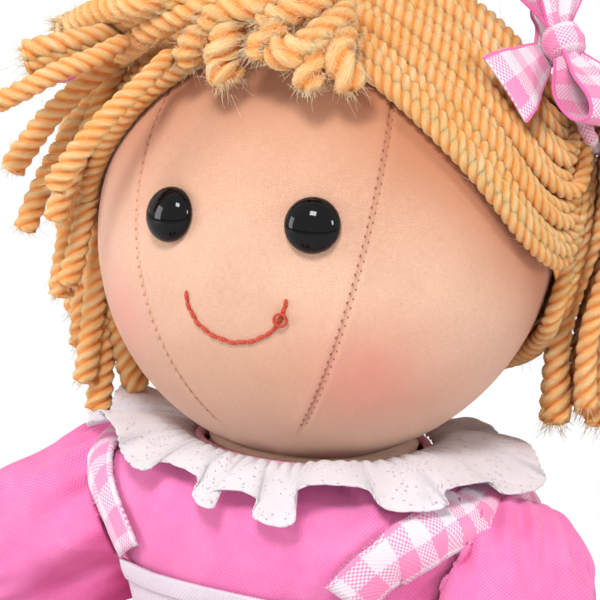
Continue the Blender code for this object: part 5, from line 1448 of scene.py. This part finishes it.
def make_apron():
    """The apron's skirt with its lace edge, the bib with its hem, and the waistband."""
    first, last, half = 0.13, 0.84, 56
    a, s = np.meshgrid(np.linspace(-half, half, 220) * DEG, np.linspace(first, last, 60))
    gap = 0.0011
    gather = 0.00035 * (1 + np.sin(a * 58)) * bell((s - first) / (last - first), 0.35)
    soft = 0.0002 * (1 + ripple(skirt_point(s, a), 0.026, 81))
    points = skirt_point(s, a, gap + gather + soft)
    apron = cloth_piece("apron_cloth", "apron", "body", "apron_skirt", points, 0.0006, lift=1.0)
    border = np.linspace(-half, half, 260) * DEG
    k = np.linspace(0, 1, 9)[:, None]
    points = skirt_point(0.835 + 0.070 * k, border, gap + 0.0006 + 0.0009 * np.sin(border * 70) * k)
    frill = cloth_piece("apron_frill", "lace", "body", None, points, 0.0005, lift=1.0)
    for name, (low, high), rows, thickness, area in (
        ("apron_bib", BIB_HEIGHTS, 22, 0.0008, 0.00068), ("bib_hem", BIB_HEM_HEIGHTS, 12, 0.0013, 0.00034),
    ):
        t = np.linspace(0, 1, rows)[:, None]
        shares = np.linspace(dress_share(low), dress_share(high), rows)
        a, s = np.meshgrid(np.linspace(-40, 40, 90) * DEG, shares)
        soft = 0.00015 * (1 + ripple(dress_point(s, a), 0.02, 91)) + 0.0002 * np.sin(t * math.pi)
        fold = np.maximum(dress_folds(s, a), 0) * 0.9
        points = dress_point(s, a, 0.0005 + fold + soft)
        piece = cloth_piece(name + "_cloth", "apron", "body", name, points, thickness, lift=1.0)
    low, high = BAND_HEIGHTS
    a, s = np.meshgrid(circle(200), np.linspace(dress_share(low), dress_share(high), 10))
    points = dress_point(s, a, 0.0004 + 0.00015 * (1 + ripple(dress_point(s, a), 0.01, 95)))
    how = {"wrap_columns": True, "lift": 1.0}
    band = cloth_piece("waistband_cloth", "apron", "body", "apron_waistband", points, 0.0011, **how)


def strap_stations(sign):
    """Shares and angles of the strap's course, from the bib over the shoulder to the waistband."""
    bib = dress_share(BIB_HEM_HEIGHTS[1] + 0.0030)
    band = dress_share(BAND_HEIGHTS[1] + 0.0022)
    widths = DRESS_SECTIONS[:, 1]
    last = len(widths) - 1
    top = 0.5
    for i in range(last, 0, -1):
        low, high = widths[i - 1], widths[i]
        if low >= STRAP_REACH:
            top = (i - 1 + (low - STRAP_REACH) / (low - high)) / last
            break
    angle, quarter = 33 * DEG, 90 * DEG
    front, back = [], []
    for rise, turn in ((0, 0), (0.28, 0.12), (0.58, 0.33), (0.83, 0.62)):
        outward = (quarter - angle) * turn
        front.append((bib + (top - bib) * rise, angle + outward))
        back.append((band + (top - band) * rise, 2 * quarter - angle - outward))
    return np.array([(share, sign * place) for share, place in front + [(top, quarter)] + back[::-1]])


def make_strap(side, sign):
    """A flat gingham ribbon over the shoulder, with frayed selvedges."""
    path = curve(strap_stations(sign), 90)
    share, angle = path[:, 0], path[:, 1]
    middle = dress_point(share, angle)
    step = 0.01
    rise = (dress_point(share + step, angle) - dress_point(share - step, angle)) / (2 * step)
    round_it = (dress_point(share, angle + step) - dress_point(share, angle - step)) / (2 * step)
    across = unit(np.cross(np.gradient(middle, axis=0), unit(np.cross(rise, round_it))))
    spread = np.linspace(-0.5, 0.5, 15)
    move = across[:, None] * (spread * STRAP_WIDTH)[None, :, None]
    a, b, c = ((rise * rise).sum(-1), (rise * round_it).sum(-1), (round_it * round_it).sum(-1))
    p, q = (move * rise[:, None]).sum(-1), (move * round_it[:, None]).sum(-1)
    scale = (a * c - b * b)[:, None]
    shares = share[:, None] + (p * c[:, None] - q * b[:, None]) / scale
    angles = angle[:, None] + (q * a[:, None] - p * b[:, None]) / scale
    lift = 0.0012 + 0.0006 * (1 - (2 * spread) ** 2)[None] + np.maximum(dress_folds(shares, angles), 0)
    points = dress_point(shares, angles, lift)
    u = np.broadcast_to((spread * STRAP_WIDTH + 0.0064)[None], shares.shape)
    v = np.broadcast_to(np.linspace(0, path_length(middle), 90)[:, None], shares.shape)
    name = "strap_ribbon_" + side
    strap = cloth_piece(name, "gingham", "body", "strap_" + side, points, 0.0008, uv=(u, v))
    rng = np.random.default_rng(101 if sign > 0 else 102)
    fray = Shape()
    t = np.linspace(0, 1, 3)[:, None]
    for edge in (0, -1):
        line = resample(points[:, edge], 260)
        out = unit(points[:, edge] - points[:, 7])
        for i, start in enumerate(line):
            way = out[i * 90 // 260]
            bend = rng.normal(size=3) * 0.25
            hair = start - way * 0.0002 + 0.0009 * rng.uniform(0.4, 1) * (way * t + bend * t**2)
            tube(fray, hair, 0.00005, 3, ends=False)
    fray.build("strap_fray_" + side, "white_thread", "body")


def make_back_bow():
    """The bow that closes the waistband behind."""
    height = (WAIST + BAND_HEIGHTS[1]) / 2 + 0.004
    _, _, deep = dress_section(dress_share(height))
    face = np.array((0, 0.8, 0.6))
    reach = float(deep) + 0.0018 + 0.0061 * face[1]
    knot = np.array((0, reach, height + 0.002))
    directions = [flattened((way * 0.45, 0.6, -0.8), face) for way in (1, -1)]
    tails = (directions, face, (0.0300, 0.0120, -0.0070))
    names = ("apron_bow", "apron_knot", "apron_tails")
    axes = (np.array((-1.0, 0, 0)), face)
    loops = (LOOP_LENGTH, LOOP_WIDTH, 0.0055, 0.22)
    made = make_bow(names, "apron", "white_thread", "body", knot, axes, loops, tails)


# Limbs


def ring_rows(direction, profile, sides, flat=None, wave=None):
    """Rings about a straight limb, from (station, radius) pairs."""
    direction = unit(direction)
    side = unit(np.cross(direction, (0, -0.3, 1)))
    over = unit(np.cross(side, direction))
    turn = circle(sides)
    rows = []
    for s, radius in profile:
        squash = flat(s) if flat else 1
        size = radius if wave is None else radius * (1 + wave(s, turn))
        rows.append(direction * s + ring_points(turn, side, over * squash, size))
    return np.array(rows)


ARM_LENGTH = 0.0860
SLEEVE_LENGTH = 0.0400
CUFF_WIDTH = 0.0050
# Degrees outwards and downwards
ARM_ANGLES = {"left": (29, 46), "right": (44, 30)}


def arm_profile():
    """Stations and radii from the round shoulder to the mitten hand."""
    root = 0.0105
    near = [(s, math.sqrt(root**2 - s**2)) for s in np.linspace(-root * 0.93, 0, 8)]
    shape = [(ARM_LENGTH * s, root * r) for s, r in ((0.2, 0.97), (0.45, 0.88), (0.62, 0.8))]
    hand = ((0.81, 0.92), (0.88, 1), (0.94, 0.86), (0.98, 0.55), (1, 0.2))
    return near + shape + [(ARM_LENGTH * 0.75, 0.0070)] + [(ARM_LENGTH * s, 0.0092 * r) for s, r in hand]


def arm_radius(s):
    return float(np.interp(s, *np.array(arm_profile()).T))


def sleeve_profile():
    """Stations and radii of the puff, from inside the dress to the cuff."""
    end = arm_radius(SLEEVE_LENGTH) + 0.0015
    near = [(-0.0178, 0.0030), (-0.0165, 0.0085), (-0.0130, 0.0140), (-0.0070, 0.0178), (0, 0.0195)]
    far = [(0.0090, 0.0200), (0.0190, 0.0192), (0.0290, 0.0170), (0.0355, 0.0135), (SLEEVE_LENGTH, end)]
    return near + far


def make_arm(side, sign, tree):
    """An arm with its hand, the puff sleeve and the cuff."""
    out, drop = (angle * DEG for angle in ARM_ANGLES[side])
    way = np.array((sign * math.sin(out) * math.cos(drop), -math.cos(out) * math.cos(drop), -math.sin(drop)))
    shoulder = SHOULDER * (sign, 1, 1)
    body = "arm_" + side
    phase = 0.7 * sign

    def flat(s):
        return 1 - 0.28 * ease((s - ARM_LENGTH * 0.72) / (ARM_LENGTH * 0.14))

    def wave(s, turn):
        t = s / SLEEVE_LENGTH
        gathers = 0.055 * np.sin(19 * turn + phase + 2 * t) * (bell(t - 1.0, 0.22) + bell(t + 0.15, 0.30))
        folds = 0.075 * np.sin(5 * turn + 3.2 * t + phase) + 0.045 * np.sin(8 * turn - 2.6 * t + 1.3 * phase)
        creases = 0.05 * np.abs(np.sin(3 * turn + 5 * t + phase)) ** 0.5
        return gathers + (folds - creases) * bell(t - 0.35, 0.42)

    def frill(s, turn):
        return 0.03 * np.sin(22 * turn) * ease((s - start) / CUFF_WIDTH)

    points = shoulder + ring_rows(way, curve(arm_profile(), 60), 40, flat=flat)
    arm = filled_piece("arm_cloth_" + side, "skin", body, "arm_" + side, points, True)
    profile = curve(sleeve_profile(), 90)
    rows = ring_rows(way, profile, 220, wave=wave)
    share = ease((profile[:, 0] + 0.010) / 0.034)[:, None, None]
    rows = rows + (1 - share) * np.array((-sign * 0.0045, 0.0, 0.0025))
    points = shoulder + rows + (0.0004 * ripple(rows, 0.012, 111))[..., None] * unit(rows)
    points = clear_of_dress(points, tree, 0.0012 + 0.0004 * bell(profile[:, :1], 0.02))
    name, how = "sleeve_cloth_" + side, {"wrap_columns": True, "lift": 1.0}
    sleeve = cloth_piece(name, "dress", None, "sleeve_" + side, points, 0.0007, **how)
    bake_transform(sleeve)
    start = SLEEVE_LENGTH + 0.0003
    cuff = []
    for s in np.linspace(0, 1, 9):
        place = start + CUFF_WIDTH * s
        cuff.append((place, arm_radius(place) + 0.0004 + 0.0004 * math.sin(s * math.pi)))
    points = shoulder + ring_rows(way, cuff, 130, wave=frill)
    name, how = "cuff_cloth_" + side, {"wrap_columns": True, "lift": 0.0}
    band = cloth_piece(name, "dress", body, "sleeve_cuff_" + side, points, 0.0013, **how)


LEG_LENGTH = 0.0925
HEEL = 0.0135
TOE_LENGTH = 0.0190
FOOT_RADIUS = 0.0100
FOOT_HALF = 0.0080
BEND = HEEL * math.pi / 2
LEG_TOTAL = LEG_LENGTH + BEND + TOE_LENGTH
BLOOMER_END = 0.0460
FRILL_SPAN = (0.0455, 0.0500)
SOCK_TOP = 0.0720
SOCK_LIFT = 0.0007
SHOE_TOP = 0.0940
SHOE_LIFT = 0.0023
TOE_ROOM = 0.0014
STRAP_PLACE = 0.0905
LEG_FORWARD = np.array((0, -math.cos(1.2 * DEG), -math.sin(1.2 * DEG)))
LEG_RISE = np.array((0, LEG_FORWARD[2], -LEG_FORWARD[1]))


def leg_place(s):
    """The middle of a leg at a station, and the leg's direction there."""
    if s <= LEG_LENGTH:
        return LEG_FORWARD * s, LEG_FORWARD
    angle = min(1, (s - LEG_LENGTH) / BEND) * math.pi / 2
    turned = LEG_FORWARD * math.cos(angle) + LEG_RISE * math.sin(angle)
    place = LEG_FORWARD * (LEG_LENGTH + HEEL * math.sin(angle)) + LEG_RISE * HEEL * (1 - math.cos(angle))
    if s > LEG_LENGTH + BEND:
        place = place + LEG_RISE * (s - LEG_LENGTH - BEND)
    return place, turned


def leg_profile():
    """Stations and radii from the round hip, round the heel to the toe."""
    thigh, knee, ankle, foot = 0.0132, 0.0112, 0.0088, FOOT_RADIUS
    near = [(s, math.sqrt(thigh**2 - s**2)) for s in np.linspace(-thigh * 0.95, 0, 8)]
    shares = (0.20, 0.48, 0.66, 0.90, 1.0)
    radii = (thigh, knee, knee * 1.03, ankle, ankle * 1.02)
    shape = [(LEG_LENGTH * s, radius) for s, radius in zip(shares, radii)]
    shape += [(LEG_LENGTH + BEND / 2, foot * 0.98), (LEG_LENGTH + BEND, foot)]
    toe = ((0.45, 1), (0.75, 0.88), (0.93, 0.6), (1, 0.3))
    return near + shape + [(LEG_LENGTH + BEND + TOE_LENGTH * s, foot * r) for s, r in toe]


def leg_rings(first, last, grow, count, sides=48, toe=0.0, wave=None):
    """Rings of a leg between two stations, grown by a layer's lift and cut flat below the foot."""
    profile = np.array(leg_profile())
    base, _ = leg_place(LEG_TOTAL)
    limit = base @ LEG_FORWARD + FOOT_HALF + grow
    rows = []
    turn = circle(sides)
    for s in np.linspace(first, last, count):
        centre, along = leg_place(s)
        radius = float(np.interp(s, profile[:, 0], profile[:, 1])) + grow
        if toe and s > LEG_TOTAL - 0.002:
            centre = centre + along * toe * (s - LEG_TOTAL + 0.002) / 0.002
        side = unit(np.cross(along, (1, 0, 0)))
        over = unit(np.cross(side, along))
        size = radius if wave is None else radius * (1 + wave(s, turn))
        row = centre + ring_points(turn, side, over, size)
        beyond = np.clip(row @ LEG_FORWARD - limit, 0, None)
        rows.append(row - beyond[:, None] * LEG_FORWARD)
    return np.array(rows)


def make_leg(side, sign):
    """A leg with its bloomer, sock and shoe, from the skin outwards."""
    hip = HIP * (sign, 1, 1)
    body = "leg_" + side

    def gather(s, turn):
        t = s / BLOOMER_END
        return 0.045 * np.sin(15 * turn + 2 * t) * bell(t - 1, 0.30) + 0.02 * np.sin(6 * turn + 3 * t)

    def frilled(s, turn):
        return 0.07 * np.sin(16 * turn) * (s - FRILL_SPAN[0]) / (FRILL_SPAN[1] - FRILL_SPAN[0])

    def ribbed(_, turn):
        return 0.012 * np.sin(30 * turn)

    def layer(name, finish, node, rings, thickness, lift):
        node = node and node + "_" + side
        how = {"wrap_columns": True, "lift": lift}
        return cloth_piece(name + "_" + side, finish, body, node, hip + rings, thickness, **how)

    points = hip + leg_rings(-0.0125, LEG_TOTAL, 0, 90)
    leg = filled_piece("leg_cloth_" + side, "skin", body, "leg_" + side, points, True)
    rings = leg_rings(-0.0079, BLOOMER_END, 0.0012, 60, 120, wave=gather)
    bloomer = layer("bloomer_cloth", "apron", "bloomers", rings, 0.0009, 0.6)
    rings = leg_rings(*FRILL_SPAN, 0.0016, 9, 120, wave=frilled)
    frill = layer("bloomer_frill", "lace", None, rings, 0.0006, 0.5)
    rings = leg_rings(SOCK_TOP, LEG_TOTAL, SOCK_LIFT + 0.0002, 70, 72, toe=0.0003)
    sock = layer("sock_knit", "sock", "sock", rings, 0.0005, 1.0)
    rings = leg_rings(SOCK_TOP + 0.0002, SOCK_TOP + 0.0070, SOCK_LIFT + 0.0008, 10, 96, wave=ribbed)
    turned = layer("sock_cuff", "sock", None, rings, 0.0009, 0.5)
    rings = leg_rings(SHOE_TOP, LEG_TOTAL, SHOE_LIFT + 0.0002, 70, 80, toe=TOE_ROOM)
    layer("shoe_felt", "shoe", "shoe", rings, 0.0012, 1.0)
    end = hip + rings[-1]
    t = np.linspace(0, 0.97, 8)[:, None, None]
    rows = end * (1 - t) + end.mean(0) * t + LEG_RISE * 0.0016 * np.sqrt(1 - (1 - t) ** 2)
    toe_cap = Shape()
    toe_cap.grid(rows, wrap_columns=True, flip=True)
    toe_cap.cap(7 * 80, 80, flip=True)
    toe_cap.build("shoe_toe_" + side, "shoe", body)
    make_sole(side, hip, body)
    rings = leg_rings(STRAP_PLACE - 0.002, STRAP_PLACE + 0.002, SHOE_LIFT + 0.0001, 7, 72)
    layer("shoe_band", "shoe", "shoe_strap", rings, 0.0010, 1.0)


def make_sole(side, hip, body):
    """The flat sole, with a stepped edge."""
    low = SHOE_LIFT + TOE_ROOM
    end, _ = leg_place(LEG_TOTAL)
    plane = end @ LEG_FORWARD + FOOT_HALF + low + 0.0003
    half = (FOOT_RADIUS + low) * 0.72
    bottom, top = -(FOOT_RADIUS + low) * 0.55, end @ LEG_RISE + 0.0005
    turn = circle(72)
    along = (top - bottom) / 2 * np.sign(np.sin(turn)) * np.abs(np.sin(turn)) ** 0.8
    across = (half * np.cos(turn))[:, None] * np.array((1.0, 0, 0))
    steps = ((0.0, 0.94), (0.0003, 1.0), (0.0019, 1.0), (0.0022, 0.95), (0.0022, 0.5), (0.0022, 0.05))
    rows = []
    for depth, size in steps:
        rise = (bottom + top) / 2 + along * size
        rows.append(hip + across * size + LEG_FORWARD * (plane + depth) + LEG_RISE * rise[:, None])
    filled_piece("sole_felt_" + side, "sole", body, "shoe_sole_" + side, np.array(rows))


# Light and ground


SOFT_LIGHT = 0.42
# Distances from the middle at which the floor starts to turn white and is white
FLOOR_FADE = (0.15, 0.24)


def make_light(name, place, size, power):
    """A soft lamp that looks at the head."""
    data = bpy.data.lights.new(name, "AREA")
    data.shape = "RECTANGLE"
    data.size, data.size_y = size
    data.energy = power
    light = bpy.data.objects.new(name, data)
    bpy.context.scene.collection.objects.link(light)
    light.location = place
    light.rotation_euler = Vector(HEAD_CENTRE - place).to_track_quat("-Z", "Y").to_euler()


def from_camera(right, up, toward):
    """A place given beside the head as the camera sees it, in metres."""
    return HEAD_CENTRE + VIEW_RIGHT * right + VIEW_UP * up - VIEW_FORWARD * toward


def make_world():
    """A soft light all round, and plain white where the camera sees past the doll."""
    world = bpy.data.worlds.new("world")
    bpy.context.scene.world = world
    world.use_nodes = True
    nodes, links = world.node_tree.nodes, world.node_tree.links
    nodes.clear()
    path = nodes.new("ShaderNodeLightPath")
    seen = path.outputs["Is Camera Ray"]
    for ray in ("Is Glossy Ray", "Is Transmission Ray"):
        either = nodes.new("ShaderNodeMath")
        either.operation = "MAXIMUM"
        links.new(seen, either.inputs[0])
        links.new(path.outputs[ray], either.inputs[1])
        seen = either.outputs[0]
    mix = nodes.new("ShaderNodeMixShader")
    links.new(seen, mix.inputs[0])
    for slot, colour, strength in ((1, (1.0, 0.985, 0.97, 1), SOFT_LIGHT), (2, (1, 1, 1, 1), 1.0)):
        glow = nodes.new("ShaderNodeBackground")
        glow.inputs["Color"].default_value = colour
        glow.inputs["Strength"].default_value = strength
        links.new(glow.outputs[0], mix.inputs[slot])
    output = nodes.new("ShaderNodeOutputWorld")
    links.new(mix.outputs[0], output.inputs[0])


def make_floor():
    """A pale floor that is plain white away from the doll and keeps its shadow near it."""
    radii = np.array((0.001, 0.2, 0.5, 1.2, 3.0))[:, None, None]
    flat = around(circle(64), np.array((1.0, 0, 0)), np.array((0, 1.0, 0)))
    shape = Shape()
    shape.grid(radii * flat - np.array((0, 0, 0.0002)), wrap_columns=True)
    made = Finish("floor_pale", roughness=0.9, sheen=0, specular=0.1)
    cloud = made.noise(made.place(), scale=6, detail=3)
    made.colour(made.mix(cloud, (0.90, 0.90, 0.90), (0.93, 0.93, 0.93)))
    light = made.add("LightPath", {})
    away = made.add("VectorMath", {0: made.place()}, operation="LENGTH")["Value"]
    share = made.times(light["Is Camera Ray"], made.span(away, *FLOOR_FADE))
    glow = made.add("Emission", {"Color": (1.0, 1.0, 1.0), "Strength": 1.0})[0]
    mix = made.add("MixShader", {0: share, 1: made.shader.outputs[0], 2: glow})[0]
    made.tree.links.new(mix, made.tree.nodes["Material Output"].inputs[0])
    MATERIALS["floor"] = made.material
    floor = shape.build("floor", "floor")


def finish_nodes():
    """Better materials for the hard nodes that stay as they are."""
    for node, finish in (("eye_washer_", "washer"), ("shoe_button_", "button")):
        for side, _ in SIDES:
            mesh = NODES[node + side].data
            mesh.materials.clear()
            mesh.materials.append(MATERIALS[finish])


def main():
    bpy.context.scene.view_settings.view_transform = "Standard"
    make_camera()
    make_world()
    make_light("key", from_camera(-0.15, 0.62, 0.80), size=(0.28, 0.22), power=7.6)
    make_light("fill", from_camera(0.85, 0.20, 0.55), size=(0.16, 0.20), power=3.2)
    make_light("side", from_camera(-0.85, 0.15, 0.15), size=(0.30, 0.40), power=3.0)
    make_materials()
    make_floor()
    make_head()
    make_seam_stitches()
    make_mouth()
    make_eyes()
    make_hair_cap()
    make_hair()
    make_fringe()
    make_neck()
    torso_parts()
    make_bodice()
    tree = dress_tree()
    make_collar(tree)
    make_skirt()
    make_apron()
    make_back_bow()
    for side, sign in SIDES:
        make_bunch(side, sign)
        make_hair_bow(side, sign)
        make_strap(side, sign)
        make_arm(side, sign, tree)
        make_leg(side, sign)
    finish_nodes()


main()
